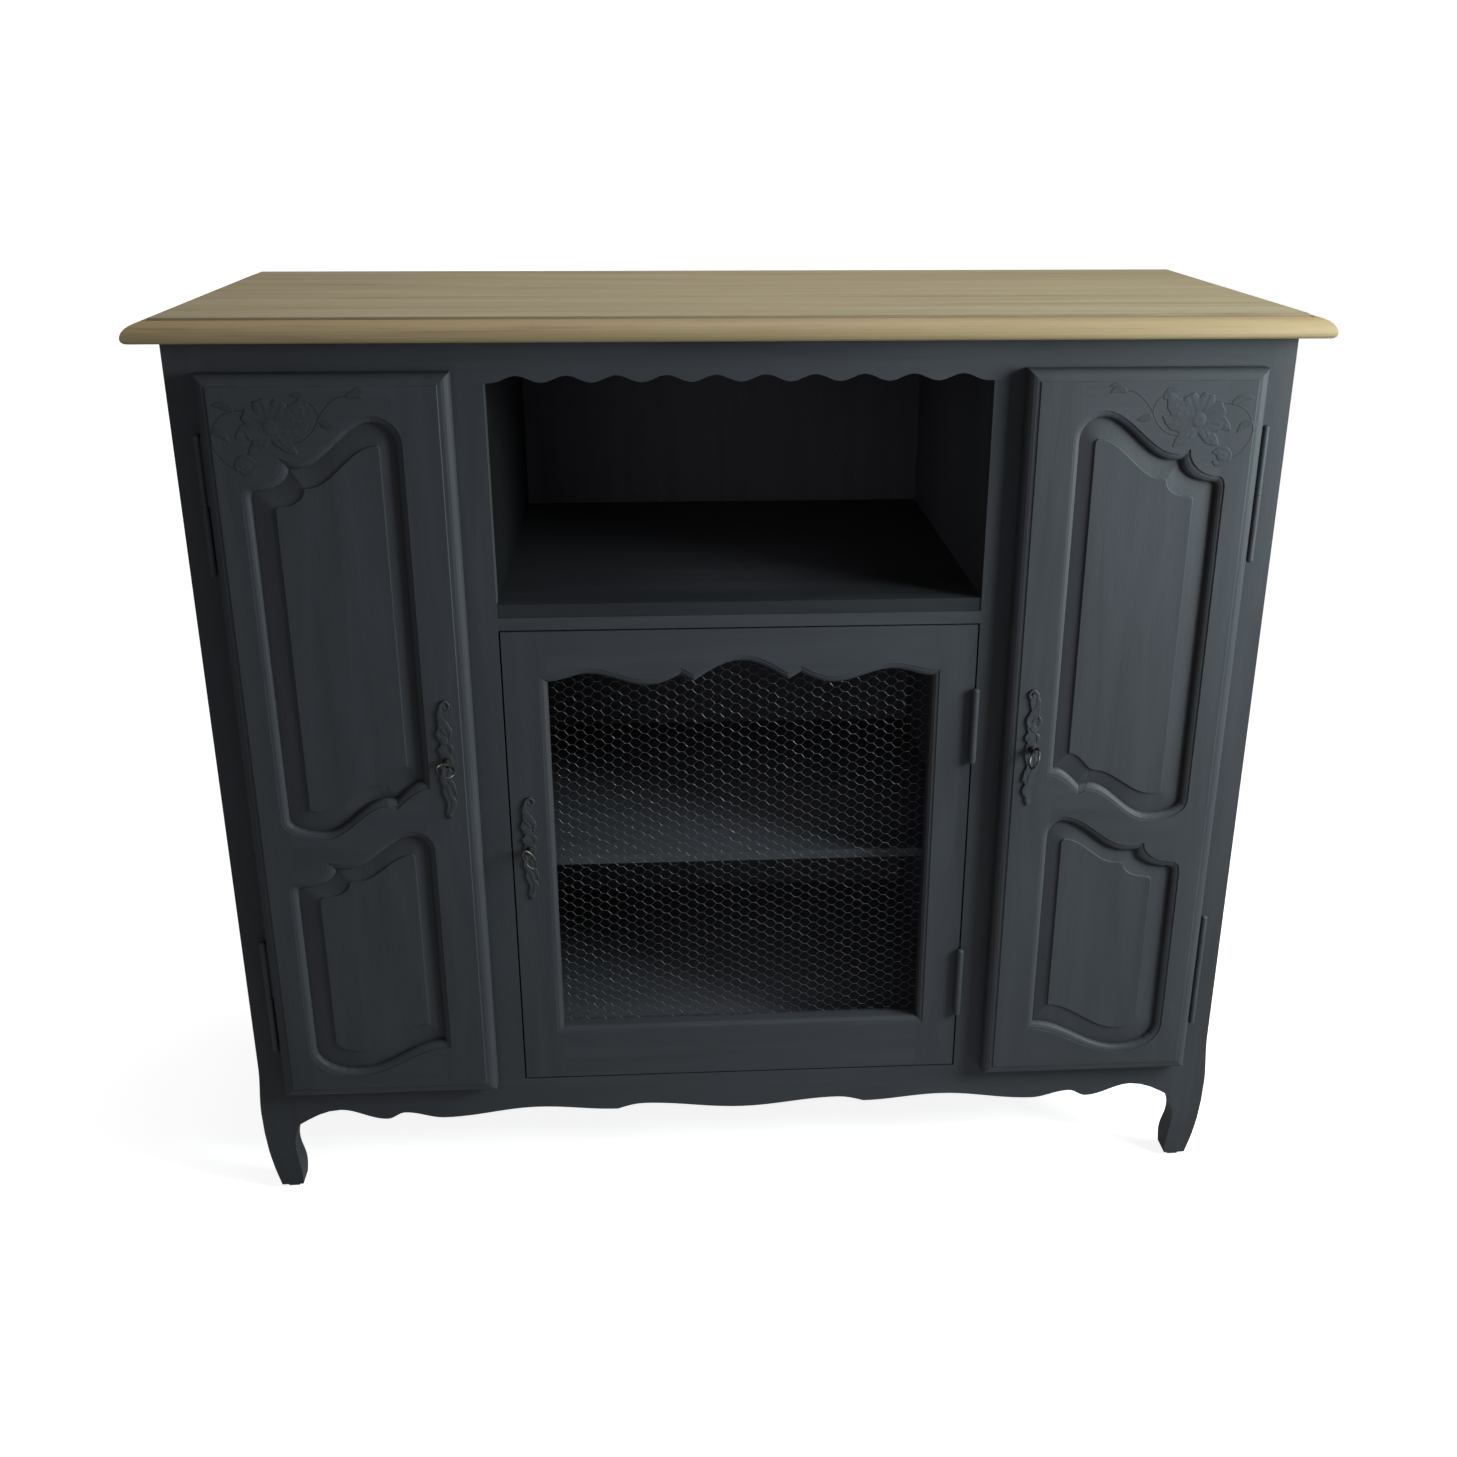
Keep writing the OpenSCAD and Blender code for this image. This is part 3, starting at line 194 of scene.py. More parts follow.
def finish_material(tree, **sockets):
    """The last two nodes, a principled surface and the output. An underscore stands for a space."""
    shader = add(tree, "ShaderNodeBsdfPrincipled")
    for key, value in sockets.items():
        socket = shader.inputs[key.replace("_", " ")]
        if isinstance(value, bpy.types.NodeSocket):
            join(tree, value, socket)
        elif isinstance(value, tuple):
            socket.default_value = (*value, 1)
        else:
            socket.default_value = value
    output = add(tree, "ShaderNodeOutputMaterial")
    join(tree, shader.outputs[0], output.inputs["Surface"])


def object_coordinates(tree):
    return add(tree, "ShaderNodeTexCoord").outputs["Object"]


# %% [markdown]
# The cabinet is brushed with a dark grey-blue satin paint over oak. Paint of this kind shows long soft brush
# marks along each board, a faint trace of the open grain below, and a slightly uneven sheen. The brush marks
# follow the boards, so one recipe has three versions: strokes up and down, across, and front to back. The
# inside behind the side doors got a flatter coat, darkened to half as painted shade. The boards round the
# niche and behind the netting each have a colour of their own: darker as painted shade on some, paler as
# painted light on others. The panels have softly rounded edges, and the carvings have painted shade where
# they meet the wood.

# %% Paint
PAINT = (0.0475, 0.050, 0.058)
PAINT_DEEP = (0.038, 0.040, 0.047)
PAINT_RUBBED = (0.086, 0.089, 0.093)
# the inside paint is darkened to this share, as painted shade
INSIDE_SHADE = 0.5
INSIDE_SHINE = 0.12
BRUSH_DEPTH = 0.0003


def painted_crevice_shade(tree, tone):
    """Painted shade where a carving meets its ground, darkest where it stands lowest."""
    raised = add(tree, "ShaderNodeAttribute", attribute_name="raised")
    return grey_ramp(tree, raised.outputs["Fac"], [(0.0, tone), (1.0, 1.0)])


def paint_material(name, along, coat=1.0, shine=0.17, edge=0.0004, crevice_shade=None):
    """Brushed paint. along is the axis of the strokes, and coat scales the colour: below 1 it is painted
    shade, above 1 painted light. A carving can get painted shade where it meets the wood.
    """
    material, tree = new_material(name)
    place = object_coordinates(tree)
    deep, plain, rubbed = (tuple(coat * v for v in colour) for colour in (PAINT_DEEP, PAINT, PAINT_RUBBED))
    strokes = streaks(tree, place, along, 14, 420, 3.0, 0.6, 0.3)
    bands = streaks(tree, place, along, 3, 36, 3.0, 0.55, 0.6)
    grain = streaks(tree, place, along, 45, 900, 2.0, 0.5)
    clouds = noise(tree, place, 2.3, 3.0, 0.5)
    colour = ramp(tree, bands, [(0.32, deep), (0.68, plain)])
    rub = grey_ramp(tree, noise(tree, place, 26.0, 6.0, 0.7), [(0.66, 0.0), (0.82, 0.35)])
    colour = mix_colour(tree, "MIX", rub, colour, rubbed)
    shade = grey_ramp(tree, clouds, [(0.3, 0.93), (0.7, 1.06)])
    colour = mix_colour(tree, "MULTIPLY", 1.0, colour, shade)
    # painted shade at the foot of a carving
    if crevice_shade:
        colour = mix_colour(tree, "MULTIPLY", 1.0, colour, painted_crevice_shade(tree, crevice_shade))
    uneven = math_node(tree, "ADD", math_node(tree, "MULTIPLY", bands, 0.5),
                       math_node(tree, "MULTIPLY", clouds, 0.5))
    sheen = grey_ramp(tree, uneven, [(0.3, 0.47), (0.7, 0.59)])
    filled = grey_ramp(tree, grain, [(0.34, 0.0), (0.42, 1.0)])
    height = math_node(tree, "ADD", strokes, math_node(tree, "MULTIPLY", filled, 0.6))
    normal = bump(tree, height, 0.35, BRUSH_DEPTH, edge)
    finish_material(tree, Base_Color=colour, Roughness=sheen, Normal=normal, Specular_IOR_Level=shine)
    return material


paint = {axis: paint_material("paint_along_" + axis.lower(), axis) for axis in "XYZ"}
shaded_inside_paint = {axis: paint_material("inside_paint_along_" + axis.lower(), axis, INSIDE_SHADE, INSIDE_SHINE)
                for axis in "XYZ"}
# boards with painted shade (below 1) and painted light (above 1): the axis of the strokes and how pale it is
BOARD_SHADE_AND_LIGHT = {"left_partition": ("Z", 0.13), "right_partition": ("Z", 1.35), "back_panel": ("Z", 1.2),
             "niche_floor": ("X", 0.56), "centre_shelf": ("X", 1.2), "bottom_board": ("X", 1.5)}
shade_and_light_paint = {name: paint_material(name + "_paint", *coat, INSIDE_SHINE) for name, coat in BOARD_SHADE_AND_LIGHT.items()}
panel_paint = paint_material("panel_paint_along_z", "Z", edge=0.0014)
# the sprays get painted shade where they meet the door rail
carved_paint = paint_material("carved_paint_along_x", "X", shine=0.14, crevice_shade=0.6)
print("paints:", [m.name for m in bpy.data.materials])

# %% [markdown]
# The top is solid oak, sanded and waxed so that it looks pale and dry, with a touch of olive. It is glued up
# from a few boards that run the length of the cabinet. Each board has its own tone, and its figure is quiet:
# soft wavy streaks, fine fibres, short dark pores and now and then a thin brown line. The groove where the
# moulded edge meets the flat has a dark line of painted shade, and the edge itself is a little browner.

# %% Oak
OAK_PALE = (0.400, 0.335, 0.205)
OAK_MIDDLE = (0.330, 0.270, 0.160)
OAK_DARK = (0.215, 0.160, 0.088)
# the colour of dark grain streaks, also used for the painted shade in the groove
OAK_STREAK_AND_SHADE = (0.105, 0.062, 0.030)
OAK_EDGE = (0.82, 0.72, 0.62)
BOARD_WIDE = 0.121
BOARDS_BEGIN = -1.004
BOARD_SHIFT = 7.3
MOULDING_WIDE = 0.025
GROOVE_WIDE = 0.003
GROOVE_WANDER = 0.0022
top_low, top_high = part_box("top_board")


def near_line(tree, value, line, reach):
    """1 on the line, 0 where the value is further from it than reach."""
    gap = math_node(tree, "ABSOLUTE", math_node(tree, "SUBTRACT", value, line), 0)
    return grey_ramp(tree, math_node(tree, "DIVIDE", gap, reach), [(0.35, 1.0), (1.0, 0.0)])


def oak_material(name):
    """Waxed oak boards side by side, with the grain along X."""
    material, tree = new_material(name)
    place = object_coordinates(tree)
    parts = add(tree, "ShaderNodeSeparateXYZ")
    join(tree, place, parts.inputs[0])
    # which board a point is in, counted from the front
    row = math_node(tree, "DIVIDE", math_node(tree, "SUBTRACT", parts.outputs["Y"], BOARDS_BEGIN), BOARD_WIDE)
    board = math_node(tree, "FLOOR", row, 0)
    inside = math_node(tree, "FRACT", row, 0)
    pick = add(tree, "ShaderNodeTexWhiteNoise", noise_dimensions="1D")
    join(tree, board, pick.inputs["W"])
    # each board is cut from another length of the log
    shifted = add(tree, "ShaderNodeCombineXYZ")
    shift = math_node(tree, "MULTIPLY", board, BOARD_SHIFT)
    join(tree, math_node(tree, "ADD", parts.outputs["X"], shift), shifted.inputs["X"])
    join(tree, parts.outputs["Y"], shifted.inputs["Y"])
    join(tree, parts.outputs["Z"], shifted.inputs["Z"])
    cut = shifted.outputs[0]
    broad = streaks(tree, cut, "X", 1.2, 16, 3.0, 0.5, 0.95)
    figure = streaks(tree, cut, "X", 2.2, 50, 4.0, 0.58, 0.8)
    fibre = streaks(tree, cut, "X", 9, 420, 3.0, 0.6)
    pore = streaks(tree, cut, "X", 42, 1500, 2.0, 0.5)
    fine = math_node(tree, "ADD", math_node(tree, "MULTIPLY", figure, 0.34),
                     math_node(tree, "MULTIPLY", fibre, 0.24))
    figured = math_node(tree, "ADD", math_node(tree, "MULTIPLY", broad, 0.42), fine)
    colour = ramp(tree, figured, [(0.34, OAK_PALE), (0.54, OAK_MIDDLE), (0.76, OAK_DARK)])
    peaks = math_node(tree, "MULTIPLY", figure, math_node(tree, "ADD", broad, 0.5))
    thin = grey_ramp(tree, peaks, [(0.60, 0.0), (0.74, 0.25)])
    colour = mix_colour(tree, "MIX", thin, colour, OAK_STREAK_AND_SHADE)
    holes = grey_ramp(tree, pore, [(0.30, 1.0), (0.37, 0.0)])
    colour = mix_colour(tree, "MIX", math_node(tree, "MULTIPLY", holes, 0.22), colour, OAK_STREAK_AND_SHADE)
    # a paler board is also a little greyer
    tone = add(tree, "ShaderNodeHueSaturation")
    paler = math_node(tree, "MULTIPLY", pick.outputs["Value"], 0.16)
    greyer = math_node(tree, "MULTIPLY", pick.outputs["Value"], -0.12)
    join(tree, math_node(tree, "ADD", paler, 0.94), tone.inputs["Value"])
    join(tree, math_node(tree, "ADD", greyer, 1.04), tone.inputs["Saturation"])
    join(tree, colour, tone.inputs["Color"])
    colour = tone.outputs[0]
    off_middle = math_node(tree, "ABSOLUTE", math_node(tree, "SUBTRACT", inside, 0.5), 0)
    rim = math_node(tree, "MULTIPLY", off_middle, 2)
    seam = grey_ramp(tree, rim, [(0.975, 0.0), (0.995, 0.25)])
    colour = mix_colour(tree, "MIX", seam, colour, OAK_STREAK_AND_SHADE)
    # the moulded edge is browner, and the groove beside it gets a dark line of painted shade
    from_front = math_node(tree, "SUBTRACT", parts.outputs["Y"], top_low.y)
    from_end = math_node(tree, "SUBTRACT", top_high.x, math_node(tree, "ABSOLUTE", parts.outputs["X"], 0))
    from_edge = math_node(tree, "MINIMUM", from_front, from_end)
    moulded = grey_ramp(tree, math_node(tree, "DIVIDE", from_edge, MOULDING_WIDE), [(0.93, 1.0), (1.0, 0.0)])
    colour = mix_colour(tree, "MULTIPLY", moulded, colour, OAK_EDGE)
    wobble = streaks(tree, cut, "X", 11, 11, 3.0, 0.6)
    near_edge = math_node(tree, "ADD", from_edge, math_node(tree, "MULTIPLY", wobble, GROOVE_WANDER))
    groove = near_line(tree, near_edge, MOULDING_WIDE, GROOVE_WIDE)
    # the painted shade in the groove is stronger where the broad figure is darker
    groove_shade_strength = math_node(tree, "ADD", math_node(tree, "MULTIPLY", broad, 0.7), 0.12)
    colour = mix_colour(tree, "MIX", math_node(tree, "MULTIPLY", groove, groove_shade_strength), colour, OAK_STREAK_AND_SHADE)
    sunk = math_node(tree, "ADD", holes, math_node(tree, "MULTIPLY", seam, 2))
    height = math_node(tree, "SUBTRACT", fibre, sunk)
    normal = bump(tree, height, 0.3, 0.0003, 0.0012)
    sheen = grey_ramp(tree, figured, [(0.35, 0.52), (0.65, 0.64)])
    finish_material(tree, Base_Color=colour, Roughness=sheen, Normal=normal, Specular_IOR_Level=0.35)
    return material


oak = oak_material("waxed_oak")
print("oak on a top", tuple(round(v, 3) for v in top_high - top_low))

# %% [markdown]
# Three metals: zinc-coated wire that glints, old steel on the keys with brown spots of rust, and hinges that
# were painted over with the cabinet, where the paint has worn off a little on the round of the barrel. The
# turned stems of the keys are near-black steel, as painted shade where the shank goes into the keyhole.


# %% Metals
def metal_material(name, bright, dull, rust, rust_share, rough):
    """Bare metal in two tones with spots of rust over a share of it."""
    material, tree = new_material(name)
    place = object_coordinates(tree)
    clouds = noise(tree, place, 160.0, 5.0, 0.6)
    colour = ramp(tree, clouds, [(0.35, dull), (0.62, bright)])
    specks = noise(tree, place, 420.0, 6.0, 0.7)
    spots = grey_ramp(tree, specks, [(1 - rust_share, 0.0), (1.08 - rust_share, 1.0)])
    colour = mix_colour(tree, "MIX", spots, colour, rust)
    sheen = grey_ramp(tree, clouds, [(0.3, rough * 1.25), (0.7, rough * 0.85)])
    normal = bump(tree, clouds, 0.25, 0.0002, 0.0002)
    finish_material(tree, Base_Color=colour, Roughness=sheen, Normal=normal, Metallic=1.0)
    return material


zinc = metal_material("galvanised_wire", bright=(0.16, 0.16, 0.165), dull=(0.08, 0.08, 0.085),
                      rust=(0.055, 0.05, 0.045), rust_share=0.45, rough=0.36)
steel = metal_material("old_steel", bright=(0.12, 0.12, 0.115), dull=(0.045, 0.045, 0.043),
                       rust=(0.04, 0.033, 0.03), rust_share=0.5, rough=0.46)
# near-black steel for the key stems, as painted shade where the shank goes into the keyhole
stem_shade_steel = metal_material("stem_painted_shade_steel", bright=(0.04, 0.04, 0.04), dull=(0.02, 0.02, 0.02),
                         rust=(0.02, 0.017, 0.015), rust_share=0.5, rough=0.6)
WORN_IRON = (0.095, 0.095, 0.10)


def painted_iron(name, crevice_shade=None):
    """Cast or rolled iron under the cabinet's paint, worn through on its high spots."""
    material, tree = new_material(name)
    place = object_coordinates(tree)
    lumps = noise(tree, place, 70.0, 4.0, 0.6)
    worn = grey_ramp(tree, noise(tree, place, 240.0, 5.0, 0.65), [(0.64, 0.0), (0.74, 0.4)])
    colour = ramp(tree, lumps, [(0.3, PAINT_DEEP), (0.7, PAINT)])
    colour = mix_colour(tree, "MIX", worn, colour, WORN_IRON)
    # painted shade at the foot of the relief
    if crevice_shade:
        colour = mix_colour(tree, "MULTIPLY", 1.0, colour, painted_crevice_shade(tree, crevice_shade))
    normal = bump(tree, lumps, 0.4, 0.0006, 0.0006)
    finish_material(tree, Base_Color=colour, Roughness=0.46, Normal=normal, Specular_IOR_Level=0.20)
    return material


iron = painted_iron("painted_iron")
# the lock plate reliefs get painted shade where they meet the plate
cast_iron = painted_iron("painted_cast_iron", crevice_shade=0.72)

# %% [markdown]
# Every CAD piece gets its finish. Upright boards are brushed up and down, rails and shelves across, and the
# boards that run from front to back along their length. What is inside the carcase gets the inside paint,
# whose darkness is painted shade.

# %% Put the finishes on
SLOTS = {entry["node"]: entry["material_slot"] for entry in frame["record"]["subparts"]}
ACROSS = ("rail", "shelf", "board", "floor", "apron")
INSIDE = ("shelves", "cleat", "case")
SLOT_FINISH = {"oak": oak, "wire": zinc, "iron": iron, "steel": steel}
counts = {}
for name, piece in nodes.items():
    slot = SLOTS.get(name, "paint")
    coats = shaded_inside_paint if any(word in name for word in INSIDE) else paint
    if slot in SLOT_FINISH:
        finish = SLOT_FINISH[slot]
    # boards with painted shade and painted light of their own
    elif name in shade_and_light_paint:
        finish = shade_and_light_paint[name]
    elif "panel" in name:
        finish = panel_paint
    elif any(word in name for word in ACROSS):
        finish = coats["X"]
    elif "cleat" in name:
        finish = coats["Y"]
    else:
        finish = coats["Z"]
    piece.data.materials.clear()
    piece.data.materials.append(finish)
    counts[finish.name] = counts.get(finish.name, 0) + 1
print("finishes:", counts)

# %% [markdown]
# The netting in the centre door is galvanised wire with six-sided gaps. Neighbouring wires are twisted round
# each other, run apart, and are twisted with the next ones. One knot repeats over seventeen hundred times, so
# it is made once and placed by Geometry Nodes on a staggered grid.


# %% Wire netting
COLUMN_PITCH = 11.1 * MM
ROW_PITCH = 12.4 * MM
WIRE_RADIUS = 0.25 * MM
TWIST_LENGTH = 6.3 * MM
TWISTS = 1.5
BULGE = 2.4 * MM
# a wire starts a little inside the end of its twist, so that they are joined
TWIST_OVERLAP = 0.96
# the largest random lean of a knot, in radians
KNOT_TILT = (0.10, 0.06, 0.05)


def new_tree(name, inputs):
    """An empty tree of Geometry Nodes with its inputs, and its first and last node."""
    tree = bpy.data.node_groups.new(name, "GeometryNodeTree")
    tree.interface.new_socket("Geometry", in_out="OUTPUT", socket_type="NodeSocketGeometry")
    for label, kind in inputs:
        tree.interface.new_socket(label, in_out="INPUT", socket_type="NodeSocket" + kind)
    return tree, add(tree, "NodeGroupInput"), add(tree, "NodeGroupOutput")


def run_tree(name, tree, values):
    """The mesh that a tree makes from these values, as an object of its own."""
    carrier = bpy.data.objects.new(name + "_maker", bpy.data.meshes.new(name + "_maker"))
    scene.collection.objects.link(carrier)
    modifier = carrier.modifiers.new("nodes", "NODES")
    modifier.node_group = tree
    names = {item.name: item.identifier for item in tree.interface.items_tree if item.in_out == "INPUT"}
    for label, value in values.items():
        modifier[names[label]] = value
    graph = bpy.context.evaluated_depsgraph_get()
    mesh = bpy.data.meshes.new_from_object(carrier.evaluated_get(graph))
    carrier.modifiers.clear()
    bpy.data.objects.remove(carrier)
    mesh.name = name
    piece = bpy.data.objects.new(name, mesh)
    scene.collection.objects.link(piece)
    return piece


def wire_point(tree, value, side, end):
    """Where a wire leaves its twist, at end 0, or meets the next column, at end 1."""
    point = add(tree, "ShaderNodeCombineXYZ")
    half = math_node(tree, "MULTIPLY", value["Twist length"], 0.5)
    reach = math_node(tree, "MULTIPLY", half, TWIST_OVERLAP)
    if end == 0:
        join(tree, reach, point.inputs["X"])
        join(tree, math_node(tree, "MULTIPLY", value["Wire radius"], float(side)), point.inputs["Y"])
    else:
        join(tree, math_node(tree, "SUBTRACT", value["Column pitch"], reach), point.inputs["X"])
        join(tree, math_node(tree, "MULTIPLY", value["Row pitch"], 0.5 * side), point.inputs["Y"])
    return point.outputs[0]


def netting_tree():
    """A flat net in the XY plane, centred on the origin, made of one knot on a staggered grid."""
    tree, given, result = new_tree("twisted netting", [
        ("Columns", "Int"), ("Rows", "Int"), ("Column pitch", "Float"), ("Row pitch", "Float"),
        ("Wire radius", "Float"), ("Twist length", "Float"), ("Twists", "Float"), ("Bulge", "Float"),
        ("Seed", "Int"), ("Material", "Material")])
    value = given.outputs
    rim = add(tree, "GeometryNodeCurvePrimitiveCircle")
    rim.inputs["Resolution"].default_value = 4
    join(tree, value["Wire radius"], rim.inputs["Radius"])
    parts = add(tree, "GeometryNodeJoinGeometry")

    def wire(curve):
        tube = add(tree, "GeometryNodeCurveToMesh")
        tube.inputs["Fill Caps"].default_value = True
        join(tree, curve, tube.inputs["Curve"])
        join(tree, rim.outputs["Curve"], tube.inputs["Profile Curve"])
        join(tree, tube.outputs["Mesh"], parts.inputs[0])

    # two wires twisted round each other along X
    half_back = math_node(tree, "MULTIPLY", value["Twist length"], -0.5)
    start = add(tree, "ShaderNodeCombineXYZ")
    join(tree, half_back, start.inputs["X"])
    for angle in (0, math.pi):
        spiral = add(tree, "GeometryNodeCurveSpiral")
        spiral.inputs["Resolution"].default_value = 5
        join(tree, value["Twists"], spiral.inputs["Rotations"])
        join(tree, value["Wire radius"], spiral.inputs["Start Radius"])
        join(tree, value["Wire radius"], spiral.inputs["End Radius"])
        join(tree, value["Twist length"], spiral.inputs["Height"])
        lie = add(tree, "GeometryNodeTransform")
        join(tree, spiral.outputs["Curve"], lie.inputs["Geometry"])
        lie.inputs["Rotation"].default_value = (0, math.pi / 2, 0)
        spin = add(tree, "GeometryNodeTransform")
        join(tree, lie.outputs[0], spin.inputs["Geometry"])
        spin.inputs["Rotation"].default_value = (angle, 0, 0)
        join(tree, start.outputs[0], spin.inputs["Translation"])
        wire(spin.outputs[0])
    # two wires that run apart to the next column
    for side in (-1, 1):
        line = add(tree, "GeometryNodeCurvePrimitiveLine")
        join(tree, wire_point(tree, value, side, 0), line.inputs["Start"])
        join(tree, wire_point(tree, value, side, 1), line.inputs["End"])
        wire(line.outputs["Curve"])

    grid = add(tree, "GeometryNodeMeshGrid")
    gaps_across = math_node(tree, "SUBTRACT", value["Columns"], 1)
    gaps_up = math_node(tree, "SUBTRACT", value["Rows"], 1)
    join(tree, math_node(tree, "MULTIPLY", value["Column pitch"], gaps_across), grid.inputs["Size X"])
    join(tree, math_node(tree, "MULTIPLY", value["Row pitch"], gaps_up), grid.inputs["Size Y"])
    join(tree, value["Columns"], grid.inputs["Vertices X"])
    join(tree, value["Rows"], grid.inputs["Vertices Y"])
    # every second column is half a gap higher
    index = add(tree, "GeometryNodeInputIndex")
    column = math_node(tree, "FLOOR", math_node(tree, "DIVIDE", index.outputs[0], value["Rows"]), 0)
    odd = math_node(tree, "SUBTRACT", math_node(tree, "MODULO", column, 2.0), 0.5)
    half_gap = math_node(tree, "MULTIPLY", value["Row pitch"], 0.5)
    lift = add(tree, "ShaderNodeCombineXYZ")
    join(tree, math_node(tree, "MULTIPLY", odd, half_gap), lift.inputs["Y"])
    stagger = add(tree, "GeometryNodeSetPosition")
    join(tree, grid.outputs["Mesh"], stagger.inputs["Geometry"])
    join(tree, lift.outputs[0], stagger.inputs["Offset"])
    tilt = add(tree, "FunctionNodeRandomValue", data_type="FLOAT_VECTOR")
    tilt.inputs[0].default_value = tuple(-angle for angle in KNOT_TILT)
    tilt.inputs[1].default_value = KNOT_TILT
    join(tree, value["Seed"], tilt.inputs["Seed"])
    knots = add(tree, "GeometryNodeInstanceOnPoints")
    join(tree, stagger.outputs[0], knots.inputs["Points"])
    join(tree, parts.outputs[0], knots.inputs["Instance"])
    join(tree, tilt.outputs[0], knots.inputs["Rotation"])
    real = add(tree, "GeometryNodeRealizeInstances")
    join(tree, knots.outputs[0], real.inputs[0])
    # the net is never quite flat
    ripple = add(tree, "ShaderNodeTexNoise")
    ripple.inputs["Scale"].default_value = 9.0
    ripple.inputs["Detail"].default_value = 1.0
    swell = add(tree, "ShaderNodeCombineXYZ")
    ripple_height = math_node(tree, "SUBTRACT", ripple.outputs["Fac"], 0.5)
    join(tree, math_node(tree, "MULTIPLY", ripple_height, value["Bulge"]), swell.inputs["Z"])
    bend = add(tree, "GeometryNodeSetPosition")
    join(tree, real.outputs[0], bend.inputs["Geometry"])
    join(tree, swell.outputs[0], bend.inputs["Offset"])
    coat = add(tree, "GeometryNodeSetMaterial")
    join(tree, bend.outputs[0], coat.inputs["Geometry"])
    join(tree, value["Material"], coat.inputs["Material"])
    join(tree, coat.outputs[0], result.inputs[0])
    return tree


net_low, net_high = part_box("netting")
net_columns = int((net_high.x - net_low.x) / COLUMN_PITCH)
net_rows = int((net_high.z - net_low.z) / ROW_PITCH)
netting = run_tree("wire_netting", netting_tree(), {
    "Columns": net_columns, "Rows": net_rows, "Column pitch": COLUMN_PITCH, "Row pitch": ROW_PITCH,
    "Wire radius": WIRE_RADIUS, "Twist length": TWIST_LENGTH, "Twists": TWISTS, "Bulge": BULGE, "Seed": 7,
    "Material": zinc})
middle = (net_low + net_high) / 2
netting.data.transform(Matrix.Translation((middle.x - COLUMN_PITCH / 2, middle.y, middle.z))
                       @ Matrix.Rotation(math.pi / 2, 4, "X"))
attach(netting, "centre_door")
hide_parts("netting")
print("netting:", net_columns, "by", net_rows, "knots,", len(netting.data.polygons), "faces")

# %% [markdown]
# Low carving is easiest as a height field: a fine grid over the wood, pushed forward where there is a petal,
# a leaf or a stem. Each shape is a small formula for height, and the highest one wins. Only the grid cells
# with something on them are kept, and they get a back and sides, so that the carving is a closed solid.


# %% Tools for low carving
# how high in mm a carving has to stand before its painted shade has faded out
SHADE_FADE_HEIGHT = 0.45
# heights are drawn as those of a fresh carving, and old paint has filled it up to this share of them
PAINT_FILLED = 0.42


def distance_to_path(x, z, path):
    """For each point: how far it is from the path, at which share of its length, and to which side."""
    best = np.full(x.shape, 1e9)
    share = np.zeros(x.shape)
    side = np.zeros(x.shape)
    lengths = [math.dist(a, b) for a, b in zip(path, path[1:])]
    total = sum(lengths)
    done = 0
    for (a, b), length in zip(zip(path, path[1:]), lengths):
        dx, dz = (b[0] - a[0]) / length, (b[1] - a[1]) / length
        t = np.clip((x - a[0]) * dx + (z - a[1]) * dz, 0, length)
        ex, ez = x - a[0] - t * dx, z - a[1] - t * dz
        d = np.hypot(ex, ez)
        closer = d < best
        best = np.where(closer, d, best)
        share = np.where(closer, (done + t) / total, share)
        side = np.where(closer, ex * -dz + ez * dx, side)
        done += length
    return best, share, side


def smooth_path(points, per_step=8):
    """A smooth curve through the points."""
    points = [np.array(p, float) for p in points]
    points = [2 * points[0] - points[1]] + points + [2 * points[-1] - points[-2]]
    path = []
    for a, b, c, d in zip(points, points[1:], points[2:], points[3:]):
        for i in range(per_step):
            t = i / per_step
            path.append(tuple(0.5 * (2 * b + (c - a) * t + (2 * a - 5 * b + 4 * c - d) * t * t
                                     + (3 * b - a - 3 * c + d) * t ** 3)))
    path.append(tuple(points[-2]))
    return path


def stem(x, z, points, wide, high, taper):
    """A round cord along the points that ends at taper of its width."""
    d, share, _ = distance_to_path(x, z, smooth_path(points))
    half = wide / 2 * (1 - (1 - taper) * share)
    inside = np.clip(1 - (d / half) ** 2, 0, 1)
    return np.where(d < half, high * np.sqrt(inside), -1.0)


def leaf(x, z, points, wide, high, veins, notches=0.0):
    """A cupped leaf along the points, with a rib, folds and a notched edge."""
    d, share, side = distance_to_path(x, z, smooth_path(points))
    body = np.sin(np.pi * np.clip(share, 0, 1) ** 0.75) ** 0.8
    lobes = 1 - notches * np.abs(np.sin(np.pi * (share * veins - np.abs(side) / wide)))
    half = wide / 2 * body * lobes + 1e-6
    inside = np.clip(1 - (d / half) ** 2, 0, 1)
    cupped = 0.55 + 0.45 * np.clip(d / half, 0, 1) ** 1.5
    rib = 0.22 * np.exp(-(d / (0.09 * wide)) ** 2)
    folds = 0.08 * np.cos(2 * np.pi * (share * veins - np.abs(side) / wide * 1.6))
    height = high * (inside ** 0.45) * (cupped + rib + folds)
    return np.where(d < half, height, -1.0)


def petal(x, z, centre, angle, length, wide, high):
    """A petal that points away from the centre at an angle, highest at its lip and creased in the middle."""
    dx, dz = x - centre[0], z - centre[1]
    along = dx * math.cos(angle) + dz * math.sin(angle)
    across = -dx * math.sin(angle) + dz * math.cos(angle)
    t = np.clip(along / length, 0, 1)
    half = wide / 2 * np.sqrt(np.clip(1 - (2 * t - 1.15) ** 2 / 1.32, 0, 1)) + 1e-6
    inside = np.clip(1 - (across / half) ** 2, 0, 1)
    lip = 0.45 + 0.55 * t ** 2
    crease = 1 - 0.35 * np.exp(-(across / (0.10 * wide)) ** 2)
    keep = (along > 0) & (along < length) & (np.abs(across) < half)
    return np.where(keep, high * inside ** 0.4 * lip * crease, -1.0)


